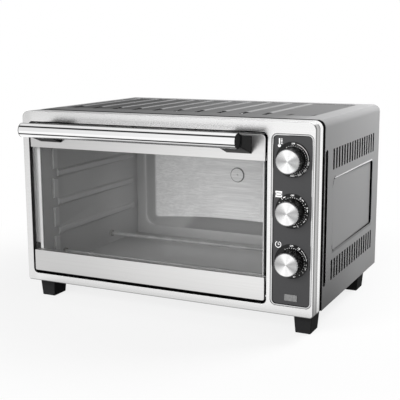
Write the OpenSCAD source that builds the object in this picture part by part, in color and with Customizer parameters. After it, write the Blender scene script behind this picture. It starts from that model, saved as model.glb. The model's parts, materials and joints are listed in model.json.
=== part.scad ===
// Countertop toaster oven: painted shell, stainless front frame, drop-down glass door and three knobs.
// Lengths are in millimetres. The front faces -Y, and the feet stand on Z = 0.

/* [Body] */
// Width of the body across its front frame
body_w = 520; // [500:1:560]
// Height of the body above its feet
body_h = 294; // [285:1:320]
// Depth from the front face to the rear edge of the shell
body_d = 363; // [350:1:385]
// Radius of the upper long edges
top_r = 12; // [8:1:16]
// Radius of the lower corners of the front frame
low_r = 4; // [3:0.5:6]
// Thickness of the shell, liner and cover sheets
sheet_t = 1; // [0.8:0.1:1.4]
// Gap left between pieces that slide together
fit = 0.2; // [0.1:0.05:0.3]
// Running gap between a pin and the hole that it turns in
run_gap = 0.05; // [0.02:0.01:0.1]

/* [Front frame] */
// Depth of the front frame
fascia_d = 33; // [28:1:40]
// Thickness of the front frame
fascia_t = 1.5; // [1.2:0.1:2]
// Distance of the bead line from the front face
bead_y = 17; // [8:1:22]
// Width of the bead line
bead_w = 2; // [1:0.5:3]
// Depth of the bead line
bead_in = 0.6; // [0.3:0.1:0.8]
// Width of the left stile
stile_w = 12; // [11:0.5:20]
// Height of the frame below the door opening
frame_sill = 13; // [10:1:20]
// Height of the frame above the door opening
frame_head = 17; // [12:1:24]
// Width of the frame's right side, where the controls are
column_w = 74.5; // [72:0.5:90]
// Radius of the door opening's corners
opening_r = 8; // [4:1:12]
// Depth of the turned-in lip round the door opening
lip_d = 2.5; // [1.5:0.1:2.8]
// Length of the recessed ring that shows behind the frame
ring_show = 10; // [4:1:14]
// How far the recessed ring stands in from the frame's outside
ring_in = 1.5; // [1.2:0.1:6]
// Thickness of the recessed ring
ring_t = 3; // [2:0.5:5]
// Length of the ring that plugs into the frame and into the shell
ring_plug = 5; // [3:1:8]

/* [Door] */
// Gap round the top and sides of the door
door_gap = 3.5; // [2:0.1:5]
// Gap below the door
door_gap_low = 5; // [4:0.1:7]
// Depth of the door's rails
door_d = 12; // [11:0.5:16]
// Radius of the door's upper corners
door_r = 6; // [3:0.5:10]
// Radius of the door's lower corners
door_low_r = 3; // [1:0.5:6]
// Height of the upper rail
head_rail_h = 40; // [34:1:50]
// Height of the lower rail
sill_rail_h = 37; // [34:1:50]
// Wall of the folded rails
rail_wall = 1.2; // [0.8:0.1:2]
// Height of the folded lips that grip the glass
rail_grip = 8; // [5:1:12]
// Thickness of the glass
glass_t = 4; // [3:0.5:5]
// Distance of the glass from the door's front face
glass_in = 4; // [2.5:0.5:5]
// Depth of the glass inside each rail
glass_seat = 12; // [9:1:14]
// Height of the hinge axis above the door's lower edge
hinge_rise = 7; // [6:0.5:9]
// Radius of the hinge pins
pin_r = 2.5; // [2:0.1:2.8]
// Length of a hinge pin inside the door
pin_grip = 14; // [8:1:18]
// Length of the hinge blocks inside the lower rail
block_l = 20; // [19:1:30]
// Thickness of the hinge brackets
bracket_t = 3; // [2:0.5:3.5]
// Wire radius of the torsion spring
spring_wire = 0.5; // [0.4:0.05:0.6]

/* [Handle] */
// Distance of the handle tube's ends from the sides of the door
handle_end = 23; // [14:0.25:40]
// Outer radius of the handle tube
handle_r = 11.5; // [9:0.5:13]
// Wall of the handle tube
handle_wall = 1.2; // [0.8:0.1:2]
// Distance of the handle's axis in front of the door
handle_out = 50; // [42:1:56]
// Distance of the handle's axis below the door's upper edge
handle_drop = 5.5; // [3:0.5:12]
// Width of the handle brackets
grip_w = 42; // [30:1:46]
// Height of the handle brackets where they meet the door
grip_h = 27; // [20:1:28]
// Distance of the brackets' foot above the upper rail's lower edge
grip_rise = 10; // [9:0.5:12]
// Length that the end plugs stand out of the tube
plug_l = 1; // [0.5:0.1:4]
// Length of the end plugs inside the tube
plug_in = 12; // [8:1:16]

/* [Controls] */
// Gap between the bright rim and the level of the door opening's edges
panel_rise = 0.7; // [0:0.1:4]
// Corner radius of the control panel
panel_r = 6; // [4:0.5:12]
// Width of the bright rim round the control panel
trim_w = 3.3; // [2:0.1:3.5]
// Distance from the right edge of the frame to the bright rim
trim_edge = 2.5; // [2.2:0.1:4]
// Gap between the bright rim and the end of the right hinge pin
trim_gap = 0.8; // [0.4:0.1:2]
// Thickness of the control panel
panel_t = 3; // [2.5:0.5:4]
// How far the control panel lies behind the front face
panel_in = 2; // [1:0.5:3]
// Distance of a dial's edge from the side of the panel
dial_side = 3.15; // [2:0.05:7]
// Depth of the dished dials
dial_in = 1; // [0.5:0.1:1.5]
// Height of the lowest dial's middle above the panel's lower edge
dial_low = 67.5; // [60:0.5:74]
// Distance of the highest dial's middle below the panel's upper edge
dial_high = 35; // [30:0.5:42]
// Radius of the knobs
knob_r = 18.5; // [15:0.5:20]
// Length of the knobs
knob_l = 24.5; // [18:0.5:30]
// Gap between a knob and its dial
knob_gap = 0.6; // [0.4:0.1:1]
// Number of flutes round a knob
flutes = 30; // [18:1:36]
// Radius of the knob spindles
spindle_r = 3; // [2.5:0.1:3.5]
// Length of a spindle inside its knob
spindle_in = 16; // [10:1:17]
// Width of the pilot lamp lens
lamp_w = 20; // [14:1:24]
// Height of the pilot lamp lens
lamp_h = 10; // [7:1:14]
// Height of the pilot lamp's middle above the panel's lower edge
lamp_low = 11; // [8:0.5:18]

/* [Cavity] */
// Distance of the cavity's walls from the sides of the door opening
cavity_side = 12.25; // [10.5:0.25:20]
// Height of the cavity floor above the body's lower edge
cavity_low = 16; // [13:0.5:20]
// Distance of the cavity's roof below the body's upper edge
cavity_head = 31; // [26:0.5:40]
// Space between the cavity's back wall and the rear cover
rear_bay = 20; // [12:1:40]
// Depth of the curved bulge in the back wall
bulge_d = 50; // [36:1:56]
// Distance of the bulge from the cavity's walls
bulge_side = 39.5; // [30:0.5:60]
// Height of the bulge's lower edge above the cavity floor
bulge_low = 34; // [24:1:50]
// Distance of the bulge's upper edge below the cavity's roof
bulge_head = 28; // [20:1:50]
// Radius of the round cap in the middle of the bulge
cap_r = 14; // [10:0.5:16]
// Height of the lowest shelf guide above the cavity floor
guide_low = 62; // [55:1:70]
// Distance of the highest shelf guide below the cavity's roof
guide_head = 82; // [70:1:90]
// How far the shelf guides stand out of the walls
guide_out = 5; // [4:0.5:9]
// Radius of the heater rods
heater_r = 3.25; // [3:0.05:4]
// Distance of the front heaters from the front face
heater_front = 78; // [70:1:90]
// Distance of the rear heaters from the cavity's back wall
heater_back = 103; // [80:1:120]
// Height of the lower heaters above the cavity floor
heater_low = 19; // [14:1:24]
// Distance of the upper heaters below the cavity roof
heater_top = 22; // [16:1:28]

/* [Fan] */
// Radius of the fan's impeller
fan_r = 50; // [40:1:54]
// Width of the fan's blades
fan_w = 14; // [10:1:16]
// Number of fan blades
fan_blades = 10; // [6:1:14]
// Gap between the impeller and its housing
fan_gap = 5; // [3:0.5:8]
// Radius of the fan motor
motor_r = 28; // [22:1:32]
// Length of the fan motor
motor_l = 40; // [30:1:48]
// Radius of the fan shaft
shaft_r = 3; // [2.5:0.1:4]

/* [Shell details] */
// Slots in each row on a side
slots = 17; // [10:1:17]
// Distance of the last slot from the rear edge of the shell
slot_rear = 39.4; // [30:0.2:60]
// Width of a slot
slot_w = 6.5; // [3:0.5:8]
// Height of a slot
slot_h = 32; // [24:1:36]
// Distance of the first slot from the front face
slot_front = 90; // [80:1:96]
// Height of the middle of the lower row
slot_low = 54; // [46:1:60]
// Distance of the middle of the upper row below the body's upper edge
slot_top = 64; // [50:1:70]
// Distance between the pressed louvre and the rows of slots
louvre_clear = 14.5; // [8:0.5:24]
// How far the louvre's rear edge is pressed in
louvre_in = 3; // [2:0.5:7]
// Width of the gap behind the louvre
louvre_gap = 3.5; // [2:0.5:10]
// Width of the long slot near the front of a side
long_w = 10; // [5:0.5:12]
// Depth of the pressed field in the roof
field_in = 1; // [1:0.5:3]
// Width of the plain strip right of the ribs
rib_plain = 84; // [50:1:110]
// Distance between the ribs
rib_pitch = 40.3; // [36:0.1:41]
// Width of a rib
rib_w = 15; // [10:1:20]

/* [Feet and rear] */
// Height of the feet
foot_h = 34; // [32:1:44]
// Width of a foot at its top
foot_w = 30; // [26:1:34]
// Depth of a foot at its top
foot_d = 40; // [36:1:46]
// How far each side of a foot leans in
foot_lean = 2.5; // [1:0.5:4]
// Distance of a foot's middle from the side of the body
foot_side = 23; // [21:0.5:28]
// Distance of the front feet's middle from the front face
foot_front = 42; // [38:1:45]
// Distance of the rear feet's middle from the rear edge of the shell
foot_back = 65; // [40:1:90]
// Gap between the bulge and the bump of the rear cover
bump_gap = 8; // [5:0.5:12]
// Width that the rear cover's bump is wider than the bulge
bump_wider = 20; // [10:1:40]
// Radius of the cord hole in the gland
cord_r = 4; // [3:0.25:4.5]
// Length of the gland outside the rear cover
gland_l = 12; // [8:1:20]
// Radius of the screws
screw_r = 2; // [1.5:0.1:2.2]
// Radius of the screw heads
screw_head_r = 4; // [3.2:0.1:4.5]
// Height of the screw heads
screw_head_h = 2.4; // [1.6:0.1:3]

/* [Hidden] */
$fn = 48;
over = 1;

// Door opening and door, in the body's frame: X from the middle, Y from the front face, Z from the lower edge
open_x0 = -body_w / 2 + stile_w;
open_x1 = body_w / 2 - column_w;
open_z1 = body_h - frame_head;
door_x0 = open_x0 + door_gap;
door_x1 = open_x1 - door_gap;
door_z0 = frame_sill + door_gap_low;
door_z1 = open_z1 - door_gap;
door_cx = (door_x0 + door_x1) / 2;
head_z0 = door_z1 - head_rail_h;
sill_z1 = door_z0 + sill_rail_h;
hinge_y = door_d / 2;
hinge_z = door_z0 + hinge_rise;
swing_r = sqrt(pow(door_d / 2, 2) + pow(hinge_rise, 2));
swing_gap = 0.5;
end_cap_l = 5;
press_gap = 0.01;
bracket_foot = 4;
bracket_h = 30;
eye_r = hinge_y - fascia_t - fit;
hinge_left_x = open_x0 - fascia_t - fit - bracket_t;
hinge_right_x = open_x1 + fascia_t + fit;
pin_end = 0.6;
spring_gap = 0.4;
spring_turns = 2;
spring_steps = 24;
spring_sides = 6;
spring_pitch = 2 * spring_wire + spring_gap;
spring_l = 2 * spring_wire + spring_turns * spring_pitch + spring_gap;

// Handle
handle_l = door_x1 - door_x0 - 2 * handle_end;
handle_z = door_z1 - handle_drop;
grip_z0 = head_z0 + grip_rise;
grip_past = 1.5;
saddle_h = 9.2;
handle_screw_rise = 8;
handle_screw_z = grip_z0 + handle_screw_rise;
handle_screw_l = 14;
access_gap = 1;

// Cavity
liner_front = hinge_y + swing_r + swing_gap;
liner_y0 = liner_front + sheet_t;
cav_x0 = open_x0 + cavity_side;
cav_x1 = open_x1 - cavity_side;
cav_z0 = cavity_low;
cav_z1 = body_h - cavity_head;
rear_in = 1;
cover_y = body_d - rear_in - sheet_t;
cavity_d = cover_y - rear_bay - sheet_t;
bulge_w = cav_x1 - cav_x0 - 2 * bulge_side;
bulge_z0 = cav_z0 + bulge_low;
bulge_z1 = cav_z1 - bulge_head;
bulge_mid = (bulge_z0 + bulge_z1) / 2;
bulge_y = cavity_d + bulge_d;
guide_pitch = (cav_z1 - cav_z0 - guide_low - guide_head) / 2;
guide_base = 8;
guide_tip = 4;
guide_front = 42;
guide_rear = 20;
guide_y0 = liner_y0 + guide_front;
guide_y1 = cavity_d - guide_rear;
stop_w = 13;
stop_out = 4;
stop_gap = 1;
bush_r = 6;
bush_flange = 2.5;
bush_in = 3;
heater_out = 10;
heater_tail = 6;
heater_tail_r = 1.4;
heater_z = [cav_z0 + heater_low, cav_z1 - heater_top];
heater_y = [heater_front, cavity_d - heater_back];
cap_t = 2;
rivet_r = 2;
rivet_l = 4;
rivet_head = 1;

// Control panel
trim_door = hinge_right_x + bracket_t + pin_end + trim_gap - open_x1;
panel_w = column_w - trim_door - trim_edge - 2 * trim_w;
panel_h = open_z1 - frame_sill - 2 * (trim_w + panel_rise);
dial_r = panel_w / 2 - dial_side;
panel_x = body_w / 2 - trim_edge - trim_w - panel_w / 2;
panel_z = (frame_sill + open_z1) / 2;
panel_z0 = panel_z - panel_h / 2;
dial_pitch = (panel_h - dial_low - dial_high) / 2;
dial_z = [for (i = [0 : 2]) panel_z0 + dial_low + i * dial_pitch];
lamp_z = panel_z0 + lamp_low;
panel_back = panel_in + panel_t;
dial_y = panel_in + dial_in;
tray_t = 1.2;
tray_back = panel_back + tray_t;
tray_x0 = hinge_right_x + bracket_t + 2 * pin_end;
tray_foot = 4;
neck_r = 4.5;
neck_back = 0.4;
knob_y = dial_y - knob_gap;
knob_front = knob_y - knob_l;
flute_r = 1.1;
flute_start = 1.5;
knob_chamfer = 1;
face_rim = 0.4;
notch_w = 1.6;
notch_l = 6;
face_in = 1.6;
face_t = 0.8;
spindle_back = 10;
lamp_back = 25;
lamp_wider = 2;
thermostat_r = 17;
thermostat_l = 20;
thermostat_tail = 10;
thermostat_tail_w = 12;
thermostat_tail_h = 30;
switch_w = 36;
switch_l = 24;
switch_tabs = 6;
tab_w = 6;
tab_h = 28;
tab_pitch = 12;
timer_w = 40;
timer_h = 44;
timer_l = 26;
bell_r = 18;
bell_l = 10;
lamp_proud = 0.8;

// Fan on the right wall of the cavity
fan_y = (liner_y0 + cavity_d) / 2;
fan_z = (cav_z0 + cav_z1) / 2;
fan_wall = cav_x1 + sheet_t;
fan_front = 4;
fan_x0 = fan_wall + fan_front;
housing_x = fan_x0 + fan_w + fan_gap;
housing_r = fan_r + fan_gap;
motor_x = housing_x + sheet_t;
shaft_in = 28;
hub_r = 12;
blade_t = 1.2;
fan_disc = 1.5;
fan_slot_w = 4;
fan_slot_pitch = 9;
fan_slot_h = 28;
fan_slot_reach = 45;
shaft_clear = 2;
motor_boss = 4;

// Shell, ring and rear cover
shell_y0 = fascia_d + ring_show;
flange_w = 10;
screw_edge = 6;
bump_y = bulge_y + sheet_t + bump_gap + sheet_t;
bump_w = bulge_w + bump_wider;
bump_z0 = bulge_z0 - bump_wider / 2;
bump_z1 = bulge_z1 + bump_wider / 2;
slot_high = body_h - slot_top;
slot_pitch = (body_d - slot_front - slot_rear) / (slots - 1);
louvre_z = (slot_low + slot_high) / 2;
louvre_h = slot_high - slot_low - slot_h - 2 * louvre_clear;
louvre_y0 = slot_front;
louvre_l = (slots - 1) * slot_pitch;
louvre_r = 8;
long_back = 12;
long_past = 2;
long_y = shell_y0 + long_back;
long_h = slot_high - slot_low + slot_h + 2 * long_past;
field_front = 50;
field_rear = 18;
field_left = 20;
field_right = 37;
field_y0 = shell_y0 + field_front;
field_y1 = body_d - field_rear;
field_x0 = -body_w / 2 + field_left;
field_x1 = body_w / 2 - field_right;
field_r = 14;
rib_side = 15;
rib_front = 36;
rib_rear = 8;
rib_x0 = field_x0 + rib_side;
rib_y0 = field_y0 + rib_front;
rib_y1 = field_y1 - rib_rear;
ribs = floor((field_x1 - rib_plain - rib_x0) / rib_pitch) + 1;
vent_w = 8;
slot_flat = 0.1;
vent_l = 18;
rear_slots = 15;
rear_slot_pitch = 20;
screw_gap = 0.15;
screw_l = 8;

// Feet, gland and terminal block
foot_rear = body_d - foot_back;
foot_screw_y = 10;
foot_web = 8;
foot_screw_end = 4;
foot_bore = 6;
gland_side = 45;
gland_x = body_w / 2 - gland_side;
gland_z = 48;
gland_wall = 3;
gland_r = cord_r + gland_wall;
gland_flange = 3;
gland_lip = 4;
gland_in = 8;
block_w = 34;
block_d = 22;
block_h = 18;
block_back = 50;
block_y = cover_y - block_back;
loom_r = 3;
loom_seat = 0.2;
loom_back = 8;
loom_tape = 0.5;

// The body's own frame placed so that the origin lies under the middle of the whole part
front_y = (handle_out + handle_r - bump_y) / 2;
module in_body() {
  translate([0, front_y, foot_h]) children();
}

// Cuboid between two corners
module block(a, b) {
  translate(a) cube(b - a);
}

// Cylinders along X and along Y from a start point
module rod_x(at, l, r) {
  translate(at) rotate([0, 90, 0]) cylinder(h = l, r = r);
}
module rod_y(at, l, r) {
  translate(at) rotate([-90, 0, 0]) cylinder(h = l, r = r);
}

// Flat outlines extruded along Y, where the outline lies in X and Z, and along X, where it lies in Y and Z
module along_y(y0, y1) {
  translate([0, y1, 0]) rotate([90, 0, 0]) linear_extrude(y1 - y0) children();
}
module along_x(x0, x1) {
  translate([x0, 0, 0]) rotate([90, 0, 90]) linear_extrude(x1 - x0) children();
}

// Rectangle between two corners with separate radii for its upper and lower corners
module outline(a, b, up_r, down_r) {
  union() {
    translate([a[0], a[1] + down_r]) square([b[0] - a[0], b[1] - a[1] - up_r - down_r]);
    translate([a[0] + up_r, b[1] - up_r - over]) square([b[0] - a[0] - 2 * up_r, up_r + over]);
    translate([a[0] + down_r, a[1]]) square([b[0] - a[0] - 2 * down_r, down_r + over]);
    for (x = [a[0] + up_r, b[0] - up_r]) translate([x, b[1] - up_r]) circle(up_r);
    for (x = [a[0] + down_r, b[0] - down_r]) translate([x, a[1] + down_r]) circle(down_r);
  }
}

// Outline of the body drawn in by a distance
module body_outline(inset) {
  outline([-body_w / 2 + inset, inset], [body_w / 2 - inset, body_h - inset],
          max(top_r - inset, 1), max(low_r - inset, 1));
}

// Outline of the shell's arch drawn in by a distance, open below
module arch(inset, z0) {
  half = body_w / 2 - inset;
  r = top_r - inset;
  union() {
    translate([-half, z0]) square([2 * half, body_h - inset - r - z0]);
    translate([-half + r, body_h - inset - r - over]) square([2 * half - 2 * r, r + over]);
    for (x = [-half + r, half - r]) translate([x, body_h - inset - r]) circle(r);
  }
}

// Screw with a round head, standing along +Z with its head below z = 0
module screw(l) {
  cylinder(h = l, r = screw_r);
  translate([0, 0, -screw_head_h]) cylinder(h = screw_head_h, r = screw_head_r);
}

// Curved bump that stands out of a wall at y0 up to y1: its wall, its floor and its roof
module bump(y0, y1, w, z0, z1) {
  depth = y1 - y0;
  r = (pow(w / 2, 2) + pow(depth, 2)) / (2 * depth);
  intersection() {
    translate([door_cx, y1 - r, z0]) difference() {
      cylinder(h = z1 - z0, r = r, $fn = 96);
      translate([0, 0, sheet_t]) cylinder(h = z1 - z0 - 2 * sheet_t, r = r - sheet_t, $fn = 96);
    }
    block([door_cx - w / 2, y0, z0], [door_cx + w / 2, y1 + over, z1]);
  }
}

// Opening in the wall at y0 behind such a bump, a little smaller so that the two run into each other
module bump_window(y0, w, z0, z1) {
  half = w / 2 - 1.5 * sheet_t;
  block([door_cx - half, y0 - over, z0 + sheet_t / 2],
        [door_cx + half, y0 + sheet_t + over, z1 - sheet_t / 2]);
}

// Places of the screws on the rear cover, in X and Z
rear_spots = concat(
  [for (s = [-1, 1], z = [slot_low, slot_high]) [s * (body_w / 2 - screw_edge), z]],
  [for (s = [-1, 1]) [s * body_w / 4, body_h - screw_edge]],
  [for (s = [-1, 1]) [s * body_w / 4, screw_edge]]
);
module rear_holes() {
  for (p = rear_spots) rod_y([p[0], cover_y - 2 * sheet_t, p[1]], 4 * sheet_t, screw_r + screw_gap);
}

// Places of the feet in X and Y, with the side that each is on
module at_foot(side, y) {
  translate([side * (body_w / 2 - foot_side), y, 0]) children();
}

module side_slots() {
  for (s = [-1, 1], z = [slot_low, slot_high], i = [0 : slots - 1]) {
    translate([s * (body_w / 2 - sheet_t / 2), slot_front + i * slot_pitch, z])
      cube([3 * sheet_t, slot_w, slot_h], center = true);
  }
}

module louvre_window() {
  for (s = [-1, 1]) along_x(s * body_w / 2 - 2 * sheet_t, s * body_w / 2 + 2 * sheet_t)
    outline([louvre_y0, louvre_z - louvre_h / 2], [louvre_y0 + louvre_l, louvre_z + louvre_h / 2],
            louvre_r, louvre_r);
}

// Panel of a louvre: flush at its front edge, pressed in towards its rear edge, with a wall above and below
module louvre_panel(s) {
  x = body_w / 2;
  y1 = louvre_y0 + louvre_l - louvre_gap;
  z0 = louvre_z - louvre_h / 2;
  z1 = louvre_z + louvre_h / 2;
  mirror([s < 0 ? 1 : 0, 0, 0]) {
    translate([0, 0, z0]) linear_extrude(louvre_h) polygon([
      [x, louvre_y0 - over], [x, louvre_y0], [x - louvre_in, y1],
      [x - louvre_in - sheet_t, y1], [x - sheet_t, louvre_y0], [x - sheet_t, louvre_y0 - over]]);
    for (z = [z0 - sheet_t, z1]) translate([0, 0, z]) linear_extrude(sheet_t) polygon([
      [x, louvre_y0], [x, y1], [x - louvre_in - sheet_t, y1], [x - sheet_t, louvre_y0]]);
  }
}

module roof_field() {
  outline([field_x0, field_y0], [field_x1, field_y1], field_r, field_r);
}

module outer_shell() {
  top = body_h;
  color("dimgray") in_body() {
    difference() {
      union() {
        along_y(shell_y0, body_d) difference() {
          arch(0, 0);
          arch(sheet_t, -over);
        }
        along_y(cover_y - sheet_t, cover_y) difference() {
          arch(sheet_t / 2, 0);
          arch(sheet_t + flange_w, -over);
        }
      }
      side_slots();
      louvre_window();
      for (s = [-1, 1]) along_x(s * body_w / 2 - 2 * sheet_t, s * body_w / 2 + 2 * sheet_t)
        outline([long_y - long_w / 2, louvre_z - long_h / 2], [long_y + long_w / 2, louvre_z + long_h / 2],
                long_w / 2 - slot_flat, long_w / 2 - slot_flat);
      translate([0, 0, top - 2 * sheet_t]) linear_extrude(3 * sheet_t) roof_field();
      rear_holes();
    }
    for (s = [-1, 1]) louvre_panel(s);
    difference() {
      union() {
        translate([0, 0, top - field_in - sheet_t]) linear_extrude(sheet_t) roof_field();
        translate([0, 0, top - field_in - sheet_t]) linear_extrude(field_in + sheet_t) difference() {
          outline([field_x0 - sheet_t, field_y0 - sheet_t], [field_x1 + sheet_t, field_y1 + sheet_t],
                  field_r + sheet_t, field_r + sheet_t);
          roof_field();
        }
        roof_ribs();
      }
      roof_vents();
    }
  }
}

// Round-backed ribs on the floor of the roof field
module roof_ribs() {
  z = body_h - field_in;
  r = (pow(rib_w / 2, 2) + pow(field_in, 2)) / (2 * field_in);
  for (i = [0 : ribs - 1]) intersection() {
    rod_y([rib_x0 + i * rib_pitch, rib_y0, z + field_in - r], rib_y1 - rib_y0, r);
    block([field_x0, rib_y0, z - sheet_t / 2], [field_x1, rib_y1, z + field_in]);
  }
}

module roof_vents() {
  z = body_h - field_in - 2 * sheet_t;
  for (i = [0 : ribs - 1]) translate([rib_x0 + i * rib_pitch, rib_y0 - vent_l, z])
    linear_extrude(3 * sheet_t) outline([-vent_w / 2, -vent_l / 2], [vent_w / 2, vent_l / 2],
                                        vent_w / 2 - slot_flat, vent_w / 2 - slot_flat);
}

module bottom_plate() {
  half = body_w / 2 - sheet_t - fit;
  tab = half - flange_w - fit;
  color("gray") in_body() difference() {
    union() {
      block([-half, shell_y0 + fit, 0], [half, cover_y - sheet_t - fit, sheet_t]);
      block([-tab, shell_y0 + fit, 0], [tab, cover_y, sheet_t]);
      block([-tab, cover_y - sheet_t, 0], [tab, cover_y, 2 * screw_edge]);
    }
    for (s = [-1, 1], y = [foot_front, foot_rear]) at_foot(s, y + foot_screw_y)
      translate([0, 0, -over]) cylinder(h = sheet_t + 2 * over, r = screw_r + screw_gap);
    rear_holes();
  }
}

module rear_cover() {
  color("dimgray") in_body() {
    difference() {
      along_y(cover_y, cover_y + sheet_t) arch(sheet_t + fit, 0);
      bump_window(cover_y, bump_w, bump_z0, bump_z1);
      rear_holes();
      rod_y([gland_x, cover_y - over, gland_z], sheet_t + 2 * over, gland_r + fit);
      for (i = [0 : rear_slots - 1], z = [(bump_z1 + body_h - flange_w) / 2, (bump_z0 + flange_w) / 2])
        translate([door_cx + (i - (rear_slots - 1) / 2) * rear_slot_pitch, cover_y + sheet_t / 2, z])
          cube([slot_w, 3 * sheet_t, rear_slot_pitch / 2], center = true);
    }
    bump(cover_y, bump_y, bump_w, bump_z0, bump_z1);
  }
}

module panel_hole(inset) {
  outline([panel_x - panel_w / 2 - trim_w + inset, panel_z - panel_h / 2 - trim_w + inset],
          [panel_x + panel_w / 2 + trim_w - inset, panel_z + panel_h / 2 + trim_w - inset],
          panel_r + trim_w - inset, panel_r + trim_w - inset);
}

module door_hole(inset) {
  outline([open_x0 - inset, frame_sill - inset], [open_x1 + inset, open_z1 + inset],
          opening_r + inset, opening_r + inset);
}

module front_fascia() {
  color("lightgray") in_body() {
    difference() {
      along_y(0, fascia_d) body_outline(0);
      along_y(fascia_t, fascia_d + over) body_outline(fascia_t);
      along_y(-over, fascia_t + over) door_hole(0);
      along_y(-over, fascia_t + over) panel_hole(0);
      along_y(bead_y, bead_y + bead_w) difference() {
        body_outline(-over);
        body_outline(bead_in);
      }
    }
    along_y(0, lip_d) difference() {
      door_hole(fascia_t);
      door_hole(0);
    }
  }
}

module fascia_spacer() {
  mid_y = fascia_d + ring_show;
  color("black") in_body() difference() {
    union() {
      along_y(fascia_d - ring_plug, fascia_d) body_outline(fascia_t + fit);
      along_y(fascia_d, mid_y) body_outline(ring_in);
      along_y(mid_y, mid_y + ring_plug) body_outline(sheet_t + fit);
    }
    along_y(fascia_d - ring_plug - over, mid_y + ring_plug + over) body_outline(ring_in + ring_t);
  }
}

module control_panel() {
  color("darkslategray") in_body() difference() {
    along_y(panel_in, panel_back) panel_hole(trim_w + fit / 2);
    for (z = dial_z) {
      rod_y([panel_x, panel_in - over, z], dial_in + over, dial_r);
      rod_y([panel_x, panel_in - over, z], panel_t + 2 * over, neck_r + fit);
    }
    lamp_hole(panel_in - over, panel_back + over);
  }
}

module lamp_hole(y0, y1) {
  block([panel_x - lamp_w / 2 - fit, y0, lamp_z - lamp_h / 2 - fit],
        [panel_x + lamp_w / 2 + fit, y1, lamp_z + lamp_h / 2 + fit]);
}

module panel_trim() {
  color("silver") in_body() along_y(0, panel_back) difference() {
    panel_hole(fit / 2);
    panel_hole(trim_w);
  }
}

// Tray behind the panel that carries the switches, closed against the back of the front frame
module control_bracket() {
  x1 = body_w / 2 - fascia_t - fit;
  z0 = fascia_t + fit;
  z1 = body_h - fascia_t - fit;
  color("gainsboro") in_body() difference() {
    intersection() {
      union() {
        block([tray_x0, panel_back, z0], [x1, tray_back, z1]);
        block([tray_x0, fascia_t, z0], [x1, panel_back + over / 2, z0 + tray_foot]);
        block([tray_x0, fascia_t, z1 - tray_foot], [x1, panel_back + over / 2, z1]);
      }
      along_y(0, fascia_d) body_outline(fascia_t + fit);
    }
    for (z = dial_z) rod_y([panel_x, 0, z], fascia_d, neck_r + fit);
    lamp_hole(0, fascia_d);
  }
}

// Bead profile of a shelf guide in X and Z, standing out of a wall towards +X
module guide_profile() {
  polygon([[0, -guide_base], [guide_out, -guide_tip], [guide_out, guide_tip], [0, guide_base]]);
}

// Guides and front stops of one side wall, standing out towards +X from x = 0
module guides() {
  zs = [for (i = [0 : 2]) cav_z0 + guide_low + i * guide_pitch];
  for (z = zs) along_y(guide_y0, guide_y1) translate([0, z]) guide_profile();
  edges = concat([cav_z0], zs, [cav_z1]);
  for (i = [0 : 3]) block([0, guide_y0 - stop_w, edges[i] + guide_base + stop_gap],
                          [stop_out, guide_y0, edges[i + 1] - guide_base - stop_gap]);
}

module heater_holes(x) {
  for (y = heater_y, z = heater_z) rod_x([x - over, y, z], sheet_t + 2 * over, bush_r + fit / 2);
}

module liner_left_wall() {
  color("silver") in_body() {
    difference() {
      block([cav_x0 - sheet_t, liner_y0, cav_z0], [cav_x0, cavity_d, cav_z1]);
      heater_holes(cav_x0 - sheet_t);
    }
    translate([cav_x0, 0, 0]) guides();
  }
}

module liner_right_wall() {
  n = floor(fan_slot_reach / fan_slot_pitch);
  color("silver") in_body() {
    difference() {
      block([cav_x1, liner_y0, cav_z0], [cav_x1 + sheet_t, cavity_d, cav_z1]);
      heater_holes(cav_x1);
      for (i = [-n : n], k = [0.5, 1.5])
        translate([cav_x1 + sheet_t / 2, fan_y + i * fan_slot_pitch, cav_z0 + guide_low + k * guide_pitch])
          cube([3 * sheet_t, fan_slot_w, fan_slot_h], center = true);
    }
    translate([cav_x1, 0, 0]) mirror([1, 0, 0]) guides();
  }
}

module liner_floor() {
  color("silver") in_body()
    block([cav_x0 - sheet_t, liner_y0, cav_z0 - sheet_t], [cav_x1 + sheet_t, cavity_d, cav_z0]);
}

module liner_roof() {
  color("silver") in_body()
    block([cav_x0 - sheet_t, liner_y0, cav_z1], [cav_x1 + sheet_t, cavity_d, cav_z1 + sheet_t]);
}

module liner_back() {
  color("silver") in_body() difference() {
    union() {
      difference() {
        block([cav_x0 - sheet_t, cavity_d, cav_z0 - sheet_t],
              [cav_x1 + sheet_t, cavity_d + sheet_t, cav_z1 + sheet_t]);
        bump_window(cavity_d, bulge_w, bulge_z0, bulge_z1);
      }
      bump(cavity_d, bulge_y + sheet_t, bulge_w, bulge_z0, bulge_z1);
    }
    rod_y([door_cx, bulge_y - over, bulge_mid], sheet_t + 2 * over, rivet_r + fit / 2);
  }
}

module liner_front_frame() {
  color("silver") in_body() difference() {
    intersection() {
      along_y(liner_front, liner_y0) body_outline(fascia_t + fit);
      block([-body_w, 0, 0], [tray_x0 - fit, fascia_d, body_h]);
    }
    block([cav_x0, 0, cav_z0], [cav_x1, fascia_d, cav_z1]);
  }
}

// Round cap on the inside of the bulge, held by a rivet through the bulge
module back_cap() {
  depth = bulge_d + sheet_t;
  r = (pow(bulge_w / 2, 2) + pow(depth, 2)) / (2 * depth) - sheet_t;
  sag = r - sqrt(pow(r, 2) - pow(cap_r, 2));
  y = bulge_y - sag - fit / 2;
  color("silver") in_body() {
    rod_y([door_cx, y - cap_t, bulge_mid], cap_t, cap_r);
    rod_y([door_cx, y - cap_t - rivet_head, bulge_mid], rivet_l + cap_t + rivet_head, rivet_r);
  }
}

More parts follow.
